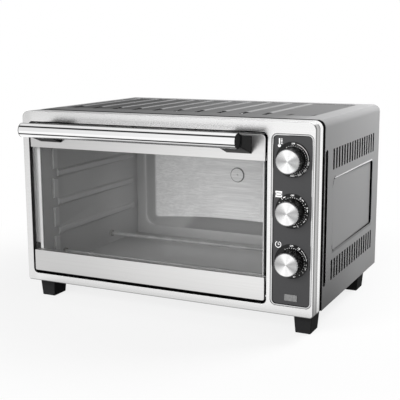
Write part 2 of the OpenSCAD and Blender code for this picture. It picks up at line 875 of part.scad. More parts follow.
module heater(y, z) {
  x0 = cav_x0 - sheet_t - heater_out;
  x1 = cav_x1 + sheet_t + heater_out;
  color("slategray") in_body() {
    rod_x([x0, y, z], x1 - x0, heater_r);
    rod_x([x0 - heater_tail, y, z], x1 - x0 + 2 * heater_tail, heater_tail_r);
  }
}
module heater_lower_front() { heater(heater_y[0], heater_z[0]); }
module heater_lower_rear() { heater(heater_y[1], heater_z[0]); }
module heater_upper_front() { heater(heater_y[0], heater_z[1]); }
module heater_upper_rear() { heater(heater_y[1], heater_z[1]); }

module heater_insulators() {
  color("white") in_body() for (y = heater_y, z = heater_z, s = [-1, 1]) {
    wall = s < 0 ? cav_x0 - sheet_t : cav_x1 + sheet_t;
    translate([wall, y, z]) mirror([s < 0 ? 1 : 0, 0, 0]) rotate([0, 90, 0]) difference() {
      union() {
        cylinder(h = bush_in, r = bush_r + bush_flange);
        translate([0, 0, -sheet_t - bush_in]) cylinder(h = sheet_t + 2 * bush_in, r = bush_r);
      }
      translate([0, 0, -sheet_t - bush_in - over])
        cylinder(h = sheet_t + 2 * bush_in + 2 * over, r = heater_r + fit / 2);
    }
  }
}

// Neck of a control that holds it in the tray and guides its spindle, cut out of a body given as child
module control(z) {
  in_body() difference() {
    union() {
      children();
      rod_y([panel_x, dial_y + neck_back, z], tray_back - dial_y - neck_back + over, neck_r);
    }
    rod_y([panel_x, 0, z], tray_back + spindle_back + fit, spindle_r + run_gap);
  }
}

module thermostat() {
  z = dial_z[2];
  back = tray_back + thermostat_l;
  color("tan") control(z) union() {
    rod_y([panel_x, tray_back, z], thermostat_l, thermostat_r);
    block([panel_x - thermostat_tail_w / 2, back - over, z - thermostat_tail_h / 2],
          [panel_x + thermostat_tail_w / 2, back + thermostat_tail, z + thermostat_tail_h / 2]);
  }
}

module function_switch() {
  z = dial_z[1];
  back = tray_back + switch_l;
  color("linen") control(z) union() {
    block([panel_x - switch_w / 2, tray_back, z - switch_w / 2],
          [panel_x + switch_w / 2, back, z + switch_w / 2]);
    for (i = [-1 : 1]) block([panel_x + i * tab_pitch - tab_w / 2, back - over, z - tab_h / 2],
                             [panel_x + i * tab_pitch + tab_w / 2, back + switch_tabs, z + tab_h / 2]);
  }
}

module timer() {
  z = dial_z[0];
  back = tray_back + timer_l;
  color("lightsteelblue") control(z) union() {
    block([panel_x - timer_w / 2, tray_back, z - timer_h / 2],
          [panel_x + timer_w / 2, back, z + timer_h / 2]);
    rod_y([panel_x, back - over, z], bell_l + over, bell_r);
  }
}

module pilot_lamp_lens() {
  color("whitesmoke") in_body() {
    block([panel_x - lamp_w / 2, panel_in - lamp_proud, lamp_z - lamp_h / 2],
          [panel_x + lamp_w / 2, tray_back, lamp_z + lamp_h / 2]);
  }
}

module pilot_lamp_body() {
  color("whitesmoke") in_body()
    block([panel_x - lamp_w / 2 - lamp_wider, tray_back, lamp_z - lamp_h / 2 - lamp_wider],
          [panel_x + lamp_w / 2 + lamp_wider, tray_back + lamp_back, lamp_z + lamp_h / 2 + lamp_wider]);
}

module fan_housing() {
  color("silver") in_body() difference() {
    union() {
      rod_x([fan_wall, fan_y, fan_z], motor_x - fan_wall, housing_r + sheet_t);
      rod_x([fan_wall, fan_y, fan_z], sheet_t, housing_r + flange_w);
    }
    rod_x([fan_wall - over, fan_y, fan_z], housing_x - fan_wall + over, housing_r);
    rod_x([fan_wall, fan_y, fan_z], motor_x - fan_wall + over, shaft_r + shaft_clear);
  }
}

module fan_motor() {
  color("darkgray") in_body() difference() {
    union() {
      rod_x([motor_x, fan_y, fan_z], motor_l, motor_r);
      rod_x([motor_x + motor_l - over, fan_y, fan_z], motor_boss + over, motor_r / 3);
    }
    rod_x([motor_x - over, fan_y, fan_z], shaft_in + over + fit, shaft_r + run_gap);
  }
}

module fan_impeller() {
  color("silver") in_body() {
    difference() {
      rod_x([fan_x0, fan_y, fan_z], fan_w, hub_r);
      rod_x([fan_x0 - over, fan_y, fan_z], fan_w + 2 * over, shaft_r + press_gap);
    }
    difference() {
      rod_x([fan_x0 + fan_w - fan_disc, fan_y, fan_z], fan_disc, fan_r);
      rod_x([fan_x0, fan_y, fan_z], fan_w + over, hub_r - over);
    }
    for (i = [0 : fan_blades - 1]) translate([fan_x0, fan_y, fan_z]) rotate([360 / fan_blades * i, 0, 0])
      block([0, hub_r - over, -blade_t / 2], [fan_w - fan_disc / 2, fan_r, blade_t / 2]);
  }
}

module fan_shaft() {
  color("gray") in_body() rod_x([fan_x0, fan_y, fan_z], motor_x - fan_x0 + shaft_in, shaft_r);
}

// Foot that leans in towards its tread, with a screw seat inside
module foot(side, y) {
  color("black") in_body() at_foot(side, y) difference() {
    intersection() {
      along_y(-foot_d, foot_d) polygon([
        [-foot_w / 2, 0], [foot_w / 2, 0],
        [foot_w / 2 - foot_lean, -foot_h], [-foot_w / 2 + foot_lean, -foot_h]]);
      along_x(-foot_w, foot_w) polygon([
        [-foot_d / 2, 0], [foot_d / 2, 0],
        [foot_d / 2 - foot_lean, -foot_h], [-foot_d / 2 + foot_lean, -foot_h]]);
    }
    translate([0, foot_screw_y, -foot_h - over]) {
      cylinder(h = foot_h - foot_web + over, r = foot_bore);
      cylinder(h = foot_h + 2 * over, r = screw_r + screw_gap);
    }
  }
}
module foot_front_left() { foot(-1, foot_front); }
module foot_front_right() { foot(1, foot_front); }
module foot_rear_left() { foot(-1, foot_rear); }
module foot_rear_right() { foot(1, foot_rear); }

module foot_screws() {
  color("silver") in_body() for (s = [-1, 1], y = [foot_front, foot_rear]) at_foot(s, y + foot_screw_y)
    translate([0, 0, -foot_web]) screw(foot_web + sheet_t + foot_screw_end);
}

module rear_screws() {
  color("silver") in_body() for (p = rear_spots)
    translate([p[0], cover_y + sheet_t, p[1]]) rotate([90, 0, 0]) screw(screw_l);
}

module cord_gland() {
  y = cover_y + sheet_t;
  color("black") in_body() difference() {
    union() {
      rod_y([gland_x, y, gland_z], gland_flange, gland_r + gland_lip);
      rod_y([gland_x, y, gland_z], gland_l, gland_r);
      rod_y([gland_x, y - sheet_t - gland_in, gland_z], sheet_t + gland_in + over, gland_r);
    }
    rod_y([gland_x, y - sheet_t - gland_in - over, gland_z], sheet_t + gland_in + gland_l + 2 * over, cord_r);
  }
}

// Terminal block on the bottom plate, in front of the gland
module terminal_block() {
  color("ivory") in_body() block([gland_x - block_w / 2, block_y, sheet_t],
                                 [gland_x + block_w / 2, block_y + block_d, sheet_t + block_h]);
}

// Bundle of wires from the terminal block along the bottom plate and up behind the controls
module wiring_loom() {
  x = panel_x;
  y0 = max(tray_back + timer_l + bell_l + loom_back, shell_y0 + ring_plug + loom_r + loom_tape + loom_seat);
  z0 = sheet_t + loom_r + loom_seat;
  backs = [timer_l + bell_l, switch_l + switch_tabs, thermostat_l + thermostat_tail];
  color("firebrick") in_body() {
    rod_y([x, y0, z0], block_y - y0, loom_r);
    translate([x, y0, sheet_t + 2 * loom_seat])
      cylinder(h = dial_z[2] + 2 * loom_r - sheet_t, r = loom_r + loom_tape);
    for (i = [0 : 2]) rod_y([x, tray_back + backs[i], dial_z[i]], y0 - tray_back - backs[i], loom_r);
  }
}

// Plates beside the opening that hold the hinge pins, standing on the front frame of the cavity
module hinge_brackets() {
  color("gray") in_body() for (x = [hinge_left_x, hinge_right_x]) difference() {
    along_x(x, x + bracket_t) union() {
      translate([hinge_y, hinge_z]) circle(eye_r);
      translate([hinge_y, hinge_z - eye_r]) square([liner_front - hinge_y, 2 * eye_r]);
      translate([liner_front - bracket_foot, hinge_z - eye_r]) square([bracket_foot, bracket_h]);
    }
    rod_x([x - over, hinge_y, hinge_z], bracket_t + 2 * over, pin_r + run_gap);
  }
}

// Wire swept along a list of points: rings square to the path, joined by triangles
function unit(v) = v / norm(v);
function heading(p, i) = unit(p[min(i + 1, len(p) - 1)] - p[max(i - 1, 0)]);
function ring(p, i, r, sides, ref) =
  let (t = heading(p, i), u = unit(cross(t, ref)), v = cross(t, u))
  [for (k = [0 : sides - 1]) p[i] + r * (u * cos(360 / sides * k) + v * sin(360 / sides * k))];
module wire(p, r, sides, ref) {
  n = len(p);
  pts = [for (i = [0 : n - 1]) each ring(p, i, r, sides, ref)];
  walls = [for (i = [0 : n - 2], k = [0 : sides - 1]) let (a = i * sides, b = a + sides, m = (k + 1) % sides)
    each [[a + k, b + k, b + m], [a + k, b + m, a + m]]];
  lid0 = [for (k = [1 : sides - 2]) [0, k, k + 1]];
  lid1 = [for (k = [1 : sides - 2]) [(n - 1) * sides, (n - 1) * sides + k + 1, (n - 1) * sides + k]];
  polyhedron(points = pts, faces = concat(walls, lid0, lid1));
}

// Torsion spring round the outer end of the left hinge pin
module door_spring() {
  coil_r = pin_r + spring_wire + spring_gap;
  x0 = hinge_left_x - spring_gap - spring_wire;
  coil = [for (i = [0 : spring_turns * spring_steps]) let (a = 360 / spring_steps * i)
    [x0 - spring_pitch * i / spring_steps, hinge_y + coil_r * cos(a), hinge_z + coil_r * sin(a)]];
  color("silver") in_body() wire(coil, spring_wire, spring_sides, [1, 0, 0]);
}

// Front outline of the door, used to round the ends of both rails
module door_outline() {
  outline([door_x0, door_z0], [door_x1, door_z1], door_r, door_low_r);
}

// Section of a rail in Y and Z, open on the side of the glass: z0 is the glass side and up is +1 or -1
module rail_section(z0, h, up) {
  translate([0, z0]) mirror([0, up < 0 ? 1 : 0]) difference() {
    square([door_d, h]);
    translate([rail_wall, rail_grip]) square([door_d - 2 * rail_wall, h - rail_grip - rail_wall]);
    translate([glass_in - fit / 2, -over]) square([glass_t + fit, rail_grip + 2 * over]);
  }
}

// Middles of the handle's screws in X
handle_spots = [for (s = [-1, 1], k = [-1, 1])
  door_cx + s * (handle_l / 2 + grip_past - grip_w / 2) + k * grip_w / 4];
module handle_holes(y0, y1, r) {
  for (x = handle_spots) rod_y([x, y0, handle_screw_z], y1 - y0, r);
}

module door_head_rail() {
  color("lightgray") in_body() difference() {
    intersection() {
      along_x(door_x0, door_x1) rail_section(head_z0, head_rail_h, 1);
      along_y(-over, door_d + over) door_outline();
    }
    handle_holes(-over, rail_wall + over, screw_r + screw_gap);
    handle_holes(door_d - rail_wall - over, door_d + over, screw_head_r + access_gap);
  }
}

module door_sill_rail() {
  color("lightgray") in_body() intersection() {
    along_x(door_x0, door_x1) rail_section(sill_z1, sill_rail_h, -1);
    along_y(-over, door_d + over) door_outline();
  }
}

module door_glass() {
  color("lightblue", 0.35) in_body()
    block([door_x0, glass_in, sill_z1 - glass_seat], [door_x1, glass_in + glass_t, head_z0 + glass_seat]);
}

// Solid that fills the hollow of a rail between two X values, drawn in by the assembly gap
module rail_fill(x0, x1, z0, z1) {
  intersection() {
    block([x0, rail_wall + fit / 2, z0 + fit / 2], [x1, door_d - rail_wall - fit / 2, z1 - fit / 2]);
    along_y(-over, door_d + over) door_outline();
  }
}

module head_rail_caps() {
  z0 = head_z0 + max(rail_grip, glass_seat);
  color("black") in_body() {
    rail_fill(door_x0, door_x0 + end_cap_l, z0, door_z1 - rail_wall);
    rail_fill(door_x1 - end_cap_l, door_x1, z0, door_z1 - rail_wall);
  }
}

module hinge_blocks() {
  color("black") in_body() for (x = [door_x0, door_x1 - block_l]) difference() {
    rail_fill(x, x + block_l, door_z0 + rail_wall, sill_z1 - max(rail_grip, glass_seat));
    rod_x([x - over, hinge_y, hinge_z], block_l + 2 * over, pin_r + press_gap);
  }
}

module hinge_pins() {
  left = hinge_left_x - spring_l;
  right = hinge_right_x + bracket_t + pin_end;
  color("silver") in_body() {
    rod_x([left, hinge_y, hinge_z], door_x0 + pin_grip - left, pin_r);
    rod_x([door_x1 - pin_grip, hinge_y, hinge_z], right - door_x1 + pin_grip, pin_r);
  }
}

module handle_tube() {
  color("silver") in_body() difference() {
    rod_x([door_cx - handle_l / 2, -handle_out, handle_z], handle_l, handle_r);
    rod_x([door_cx - handle_l / 2 - over, -handle_out, handle_z], handle_l + 2 * over,
          handle_r - handle_wall);
  }
}

module handle_plugs() {
  color("black") in_body() for (s = [-1, 1]) translate([door_cx, -handle_out, handle_z])
    mirror([s < 0 ? 1 : 0, 0, 0]) rotate([0, 90, 0]) translate([0, 0, handle_l / 2]) {
      cylinder(h = plug_l, r = handle_r);
      translate([0, 0, -plug_in]) cylinder(h = plug_in + over, r = handle_r - handle_wall - fit / 2);
    }
}

// Bracket between the door's upper rail and the back of the tube, which lies in its saddle
module handle_bracket(x0) {
  z1 = grip_z0 + grip_h;
  color("black") in_body() difference() {
    along_x(x0, x0 + grip_w) polygon([
      [0, grip_z0], [0, z1], [-handle_out / 2, max(z1, handle_z + handle_r / 2)],
      [-handle_out + handle_r / 2, handle_z + saddle_h], [-handle_out + handle_r / 2, handle_z - saddle_h],
      [-handle_out / 2, min(grip_z0 + grip_h / 3, handle_z - handle_r)]]);
    rod_x([x0 - over, -handle_out, handle_z], grip_w + 2 * over, handle_r + fit / 2);
    handle_holes(rail_wall - handle_screw_l, over, screw_r + press_gap);
  }
}
module handle_bracket_left() { handle_bracket(door_cx - handle_l / 2 - grip_past); }
module handle_bracket_right() { handle_bracket(door_cx + handle_l / 2 + grip_past - grip_w); }

module handle_screws() {
  color("silver") in_body() for (x = handle_spots)
    translate([x, rail_wall, handle_screw_z]) rotate([90, 0, 0]) screw(handle_screw_l);
}

// Fluted knob with a seat for its face and a hole for its spindle
module knob(z) {
  color("silver") in_body() translate([panel_x, knob_y, z]) rotate([90, 0, 0]) difference() {
    rotate_extrude() polygon([
      [0, 0], [knob_r, 0], [knob_r, knob_l - knob_chamfer],
      [knob_r - face_in + face_rim, knob_l], [0, knob_l]]);
    for (i = [0 : flutes - 1]) rotate([0, 0, 360 / flutes * i])
      translate([knob_r + flute_r / 2, 0, flute_start]) cylinder(h = knob_l, r = flute_r);
    translate([0, 0, -over]) cylinder(h = spindle_in + over, r = spindle_r + press_gap);
    translate([0, 0, knob_l - face_t]) cylinder(h = face_t + over, r = knob_r - face_in + fit / 2);
  }
}

// Spun disc on the front of a knob, with a notch that points to the dial
module knob_face(z) {
  color("white") in_body() translate([panel_x, knob_front, z]) rotate([-90, 0, 0]) difference() {
    cylinder(h = face_t, r = knob_r - face_in);
    translate([-notch_w / 2, -knob_r, -over]) cube([notch_w, notch_l, face_t / 2 + over]);
  }
}

module spindle(z) {
  color("gray") in_body()
    rod_y([panel_x, knob_y - spindle_in, z], spindle_in - knob_y + tray_back + spindle_back, spindle_r);
}

module temperature_knob() { knob(dial_z[2]); }
module temperature_knob_face() { knob_face(dial_z[2]); }
module temperature_spindle() { spindle(dial_z[2]); }
module function_knob() { knob(dial_z[1]); }
module function_knob_face() { knob_face(dial_z[1]); }
module function_spindle() { spindle(dial_z[1]); }
module timer_knob() { knob(dial_z[0]); }
module timer_knob_face() { knob_face(dial_z[0]); }
module timer_spindle() { spindle(dial_z[0]); }

outer_shell();
bottom_plate();
rear_cover();
front_fascia();
fascia_spacer();
control_panel();
panel_trim();
control_bracket();
liner_left_wall();
liner_right_wall();
liner_floor();
liner_roof();
liner_back();
liner_front_frame();
back_cap();
heater_lower_front();
heater_lower_rear();
heater_upper_front();
heater_upper_rear();
heater_insulators();
thermostat();
function_switch();
timer();
pilot_lamp_lens();
pilot_lamp_body();
fan_housing();
fan_motor();
foot_front_left();
foot_front_right();
foot_rear_left();
foot_rear_right();
foot_screws();
rear_screws();
cord_gland();
terminal_block();
wiring_loom();
hinge_brackets();
door_spring();
door_glass();
door_head_rail();
door_sill_rail();
head_rail_caps();
hinge_blocks();
hinge_pins();
handle_tube();
handle_plugs();
handle_bracket_left();
handle_bracket_right();
handle_screws();
temperature_knob();
temperature_knob_face();
temperature_spindle();
function_knob();
function_knob_face();
function_spindle();
timer_knob();
timer_knob_face();
timer_spindle();
fan_impeller();
fan_shaft();
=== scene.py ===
"""Finishes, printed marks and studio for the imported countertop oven, laid out as an add-on."""

import json
import math

import bmesh
import bpy
from bpy.props import FloatProperty, FloatVectorProperty, PointerProperty
from bpy.types import Operator, Panel, PropertyGroup
from mathutils import Matrix, Vector


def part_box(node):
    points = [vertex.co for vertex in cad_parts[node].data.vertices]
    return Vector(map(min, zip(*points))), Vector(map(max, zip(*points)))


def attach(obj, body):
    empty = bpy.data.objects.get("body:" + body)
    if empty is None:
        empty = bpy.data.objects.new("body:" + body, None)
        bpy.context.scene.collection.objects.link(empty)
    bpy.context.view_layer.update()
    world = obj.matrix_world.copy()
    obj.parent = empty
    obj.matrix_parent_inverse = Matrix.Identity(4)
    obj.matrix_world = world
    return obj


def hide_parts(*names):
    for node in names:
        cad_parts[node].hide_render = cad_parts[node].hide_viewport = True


bl_info = {
    "name": "Countertop Oven Dressing",
    "version": (1, 0, 0),
    "blender": (4, 5, 0),
    "location": "View3D > Sidebar > Oven",
    "description": "Dresses the packed oven with finishes, printed marks and a plain studio",
    "category": "Object",
}

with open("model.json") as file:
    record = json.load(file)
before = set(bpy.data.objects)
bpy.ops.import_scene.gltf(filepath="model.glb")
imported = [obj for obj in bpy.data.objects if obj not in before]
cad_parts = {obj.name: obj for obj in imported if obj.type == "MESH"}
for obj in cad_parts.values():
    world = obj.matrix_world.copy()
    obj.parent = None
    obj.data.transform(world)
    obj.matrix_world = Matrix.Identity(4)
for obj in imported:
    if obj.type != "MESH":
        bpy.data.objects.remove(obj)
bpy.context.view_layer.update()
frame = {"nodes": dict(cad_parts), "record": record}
NODE_BODY = {node: body for body, nodes in frame["record"]["behaviour"]["bodies"].items() for node in nodes}

MM = 0.001
WELD = 0.002 * MM
FLAT = math.radians(0.5)
CREASE = math.radians(35)
SHARP = math.radians(40)
BLACK = (0.0, 0.0, 0.0, 1.0)
WHITE = (1.0, 1.0, 1.0, 1.0)
HOUSING = "housing"
DIALS = ("temperature_knob", "function_knob", "timer_knob")
FRONT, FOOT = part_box("front_fascia")[0].y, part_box("front_fascia")[0].z
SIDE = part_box("front_fascia")[1].x
UPRIGHT = Matrix.Rotation(math.pi / 2, 4, "X")
LINER_SHEET = 1.0 * MM
SLOT_STEPS = 16
LENS_RIBS = 16
# What bright metal mirrors. Of the room: the rise of a dark flag from the front, with its soft edge, the rise
# and the side of its far end, and its left. Of the floor: a dark strip, the oven's shade and its left.
FLAG_RISE = [math.radians(turn) for turn in (52.5, 81.5, 3.0)]
FAR_RISE = [math.radians(turn) for turn in (135, 147)]
FAR_SIDE = (-0.52, -0.2)
ROOM_LEFT = (-0.75, -0.3)
FLOOR_STRIP = (-0.51, -0.335)
FLOOR_SHADE = (-0.34, -0.17)
FLOOR_LEFT = (-3.0, -1.2)


# Properties

def length(name, description, default, top):
    """A length property, given in millimetres."""
    return FloatProperty(name=name, description=description, default=default * MM, min=0.0, max=top * MM,
                         precision=5, subtype="DISTANCE", unit="LENGTH")


def amount(name, description, default, top=1000.0):
    """A plain number from nothing upwards."""
    return FloatProperty(name=name, description=description, default=default, min=0.0, max=top)


def angle(name, description, degrees):
    """An angle property, given in degrees."""
    return FloatProperty(name=name, description=description, default=math.radians(degrees), unit="ROTATION")


def tone(name, description, default):
    """A colour property in linear light."""
    return FloatVectorProperty(name=name, description=description, default=default, min=0.0, max=1.0,
                               size=3, subtype="COLOR")


def spot(name, description, default):
    """A place property, in metres."""
    return FloatVectorProperty(name=name, description=description, default=default, size=3,
                               subtype="TRANSLATION", unit="LENGTH")


class OvenSizes(PropertyGroup):
    """Sizes of the rounded edges and of the small added details."""
    sheet_round: length("Sheet edge", "Rounding of cut sheet edges", 0.3, 0.5)
    front_round: length("Front edge", "Rounding of the frame's outer front edge", 1.6, 3.5)
    frame_sheet: length("Frame sheet", "Thickness of the front frame's steel", 1.5, 2)
    frame_top: length("Frame top corners", "Outer radius of the frame's upper corners", 12, 16)
    frame_low: length("Frame low corners", "Outer radius of the frame's lower corners", 4, 6)
    bead_at: length("Bead", "Depth at which the frame's bead groove starts", 17, 22)
    bead_wide: length("Bead width", "Width of the frame's bead groove", 2, 3)
    bead_deep: length("Bead depth", "Depth of the frame's bead groove", 0.6, 0.8)
    door_side: length("Door gap", "Gap between the door and the frame at the sides and the top", 3.5, 5)
    door_under: length("Door gap below", "Gap between the door and the frame below", 5, 7)
    opening_round: length("Opening corners", "Radius of the door opening's corners", 8, 12)
    lip: length("Opening lip", "Depth of the turned lip of the door opening", 2.5, 3)
    rim_wide: length("Panel rim", "Width of the bead round the control panel", 3.2, 3.4)
    rim_round: length("Panel rim corners", "Outer radius of the panel rim's corners", 9.2, 12)
    rail_round: length("Rail edge", "Rounding of the door rails", 0.9, 1.5)
    grip_round: length("Bracket edge", "Rounding of the handle brackets", 1.6, 3)
    tube_wall: length("Handle wall", "Wall of the handle tube", 1.2, 2)
    plug_rim: length("Plug rim", "Width of the raised rim on the handle's end plugs", 1.6, 3)
    foot_round: length("Foot edge", "Rounding of the feet", 1.8, 3)
    guide_round: length("Guide edge", "Rounding of the shelf guides", 1.0, 2)
    knob_round: length("Knob edge", "Rounding of the knob's flutes", 0.25, 0.4)
    dial: length("Dial", "Radius of the dished dials", 26.4, 27)
    dial_deep: length("Dial depth", "Depth of the dished dials below the panel", 1.0, 1.5)
    print_height: length("Print height", "Thickness of the printed marks", 0.06, 0.2)
    # The next sizes place painted shade: round the side slots, under the louvres, in the roof vents and on
    # the roof's sunk field.
    slot_front: length("Slot front", "Distance of the first side slot behind the frame's face", 90, 200)
    slot_rear: length("Slot rear", "Distance of the last side slot from the wrap's rear end", 39.4, 100)
    slot_low: length("Lower slots", "Height of the lower side slots over the frame's foot", 54, 100)
    slot_high: length("Upper slots", "Height of the upper side slots over the frame's foot", 230, 300)
    slot_half: length("Slot half", "Half the height of the dark edge of a side slot", 16.3, 50)
    slot_wide: length("Slot width", "Half the width of the dark edge of a side slot", 3.9, 6)
    louvre_low: length("Louvre low", "Height of the louvres' lower edge over the frame's foot", 84.5, 200)
    vent_side: length("Vent side", "Distance of the first roof vent from the field's left end", 16, 60)
    vent_front: length("Vent front", "Distance of the roof vents behind the field's front end", 19, 60)
    vent_pitch: length("Vent pitch", "Distance from roof vent to roof vent", 40.3, 60)
    vent_wide: length("Vent width", "Half the width of the dark mouth of a roof vent", 3.7, 8)
    roof_left: length("Roof field left", "Distance of the roof's sunk field from the left side", 19, 60)
    roof_right: length("Roof field right", "Distance of the roof's sunk field from the right side", 36, 80)
    roof_front: length("Roof field front", "Distance of the roof's sunk field from the wrap's front", 49, 80)
    lens_rib: length("Lens rib", "Height of the ribs on the pilot lens", 0.5, 1)
    numeral: length("Numeral", "Height of the dial numerals", 4.2, 5)
    sign: amount("Sign scale", "Scale of the signs beside the dials", 1.45, 1.6)
    ring_in: length("Ring inset", "How far the black ring stands in from the frame", 0.25, 1.5)
    ring_deep: length("Ring wall", "Depth of the black ring's wall", 3.5, 3.8)
    louvre_front: length("Louvre front", "Depth at which a louvre starts", 96, 200)
    louvre_rear: length("Louvre rear", "Depth at which a louvre ends", 318, 400)
    louvre_top: length("Louvre top", "Height of a louvre above the frame's lower edge", 199.5, 300)
    louvre_bead: length("Louvre bead", "Radius of the bead over a louvre, at its rear end", 1.3, 2)
    louvre_seat: length("Louvre seat", "How far the middle of a louvre's bead lies in the wrap", 0.3, 1)
    # The wrap's front hem is painted black as shadow beside the ring.
    shell_hem: length("Shell hem", "Width of the blackened front edge of the wrap", 1.8, 4)
    mark_ring: length("Mark ring", "Radius on which the dial marks stand", 23.6, 25)
    dot_ring: length("Dot ring", "Radius of the ring of fine dots", 20.4, 22)
    recess_side: length("Recess side", "Distance of the drawn recess from the back wall's sides", 18.3, 30)
    recess_low: length("Recess foot", "Distance of the drawn recess from the back wall's low edge", 18.5, 30)
    recess_head: length("Recess head", "Distance of the drawn recess from the back wall's upper edge", 12, 30)
    recess_round: length("Recess corners", "Radius of the drawn recess's corners", 22, 40)
    recess_wall: length("Recess wall", "Width over which the back wall is drawn in", 17, 30)
    recess_edge: length("Recess edge depth", "Depth of the drawn recess at its two ends", 11, 14)


class OvenColours(PropertyGroup):
    """Colours of the finishes, in linear light."""
    shell: tone("Shell paint", "Satin paint of the wrap and rear cover", (0.335, 0.335, 0.338))
    front: tone("Front steel", "Brushed steel of the frame", (0.97, 0.965, 0.96))
    rim: tone("Panel rim", "Plating of the bead round the panel", (0.70, 0.70, 0.705))
    door: tone("Door steel", "Brushed steel of the door rails", (0.875, 0.87, 0.865))
    chrome: tone("Chrome", "Bright plating of the handle", (0.97, 0.97, 0.975))
    knob_side: tone("Knob side", "Plating on the crests of the knobs' flutes", (0.45, 0.45, 0.455))
    knob_face: tone("Knob face", "Spun metal of the knobs' faces", (0.90, 0.90, 0.905))
    panel: tone("Panel paint", "Dark paint of the control panel", (0.043, 0.043, 0.0443))
    dial: tone("Dial", "Black of the dished dials", (0.006, 0.006, 0.0062))
    mark: tone("Marks", "Printed marks", (0.92, 0.92, 0.92))
    foot: tone("Foot plastic", "Moulded feet", (0.018, 0.018, 0.0185))
    plastic: tone("Black plastic", "Brackets, plugs and gland", (0.006, 0.006, 0.0063))
    liner: tone("Liner", "Sheet steel inside the cavity", (0.50, 0.50, 0.50))
    back: tone("Back wall", "Bright drawn sheet of the cavity's back wall", (0.97, 0.97, 0.97))
    flange: tone("Cavity flange", "Bright flange round the cavity's mouth", (0.97, 0.97, 0.97))
    # Painted black shade for faces that look into the oven or its openings, the liner's outer faces, the
    # knobs' flutes and the cap's rim; also the black of the spacer ring.
    dark: tone("Inner shade and ring black", "Dark inner faces of the wrap", (0.006, 0.006, 0.006))
    zinc: tone("Zinc", "Plated sheet of hidden brackets", (0.55, 0.56, 0.57))
    heater: tone("Heater", "Heat-tinted heater tubes", (0.60, 0.60, 0.60))
    tray: tone("Inner tray", "Blackened sheet behind the panel and round the fan", (0.020, 0.020, 0.020))
    ceramic: tone("Ceramic", "Insulators", (0.27, 0.265, 0.25))
    ivory: tone("Ivory", "Moulded terminal block and lamp body", (0.66, 0.61, 0.50))
    control: tone("Control bodies", "Moulded bodies of the three controls", (0.022, 0.018, 0.016))
    wire: tone("Wire sleeve", "Sleeve of the wiring loom", (0.030, 0.030, 0.032))
    lens: tone("Pilot lens", "Ribbed pilot lamp lens", (0.17, 0.17, 0.17))
    glass: tone("Glass", "Light that the door's glass lets through", (0.94, 0.94, 0.94))


class OvenStage(PropertyGroup):
    """Camera, light and floor."""
    yaw: angle("Yaw", "Turn of the camera to the oven's right", 25.95)
    pitch: angle("Pitch", "Tilt of the camera downwards", 10.74)
    roll: angle("Roll", "Roll of the camera", -0.25)
    lens: amount("Lens", "Focal length on a 36 mm sensor", 77.15)
    stand: spot("Stand", "Place of the camera from the middle of the frame's lower front edge",
                (0.6459, -1.1745, 0.4145))
    key: amount("Key light", "Power of the light at the right", 9.6)
    key_at: spot("Key place", "Place of the light at the right", (0.72, 0.46, 0.84))
    key_wide: length("Key width", "Side of the light at the right", 500, 3000)
    front: amount("Front light", "Power of the light in front", 100.0)
    front_at: spot("Front place", "Place of the light in front", (-0.4, -2.4, 0.7))
    front_wide: length("Front width", "Side of the light in front", 1800, 3000)
    top: amount("Top light", "Power of the light above", 0.4)
    top_at: spot("Top place", "Place of the light above", (0.6, 0.6, 1.6))
    top_wide: length("Top width", "Side of the light above", 1000, 3000)
    aim: spot("Aim", "Point that the lights face", (0.0, 0.0, 0.15))
    ambient: amount("Ambient", "Level of the light from all round", 0.16, 1.0)
    flag: amount("Flag", "Level of the dark flags that bright metal mirrors", 0.04, 1.0)
    far_end: amount("Far end", "Level of the room's far end in reflections", 0.22, 1.0)
    left_fall: amount("Left fall-off", "Level of the room's left end in reflections", 0.72, 1.0)
    floor: tone("Floor", "Colour of the floor", (0.86, 0.86, 0.86))
    bounce: amount("Bounce", "Share of the light that the floor throws back on the oven", 0.12, 1.0)
    contact: amount("Contact shade", "Depth of the shade at the oven's foot in reflections", 0.75, 1.0)
    floor_glow: amount("Floor glow", "Share of the floor near the oven that is seen as plain white", 0.8, 1.0)
    floor_half: length("Floor half", "Half the side of the floor", 6000, 20000)
    floor_near: length("Shadow reach", "Distance from the middle where the floor starts to fade", 300, 2000)
    floor_far: length("White reach", "Distance from the middle where the floor is plain white", 750, 4000)


# Shader maths

class Value:
    """A node's output with arithmetic: an expression on values adds its Math nodes."""

    def __init__(self, sheet, socket):
        self.sheet = sheet
        self.socket = socket

    def math(self, operation, *others):
        inputs = dict(enumerate((self,) + others))
        return self.sheet.node("ShaderNodeMath", {"operation": operation}, inputs)

    def __add__(self, other):
        return self.math("ADD", other)

    __radd__ = __add__

    def __mul__(self, other):
        return self.math("MULTIPLY", other)

    __rmul__ = __mul__

    def __sub__(self, other):
        return self.math("SUBTRACT", other)

    def __rsub__(self, other):
        return (self * -1.0) + other

    def __truediv__(self, other):
        return self.math("DIVIDE", other)

    def __pow__(self, other):
        return self.math("POWER", other)

    def __abs__(self):
        return self.math("ABSOLUTE")

    def high(self, other):
        return self.math("MAXIMUM", other)

    def ramp(self, start, end):
        """0 below start and 1 above end, with a soft step between."""
        settings = {"interpolation_type": "SMOOTHSTEP"}
        inputs = {"Value": self, "From Min": start, "From Max": end}
        return self.sheet.node("ShaderNodeMapRange", settings, inputs)

    def band(self, low, high, soft):
        """1 between two limits, with soft steps at both."""
        return self.ramp(low - soft / 2, low + soft / 2) * (1.0 - self.ramp(high - soft / 2, high + soft / 2))

    def row(self, first, pitch, half, soft):
        """1 within half of each place of an endless row, with soft steps."""
        step = (self - first) / pitch
        return 1.0 - (abs(step - step.math("ROUND")) * pitch).ramp(half - soft / 2, half + soft / 2)


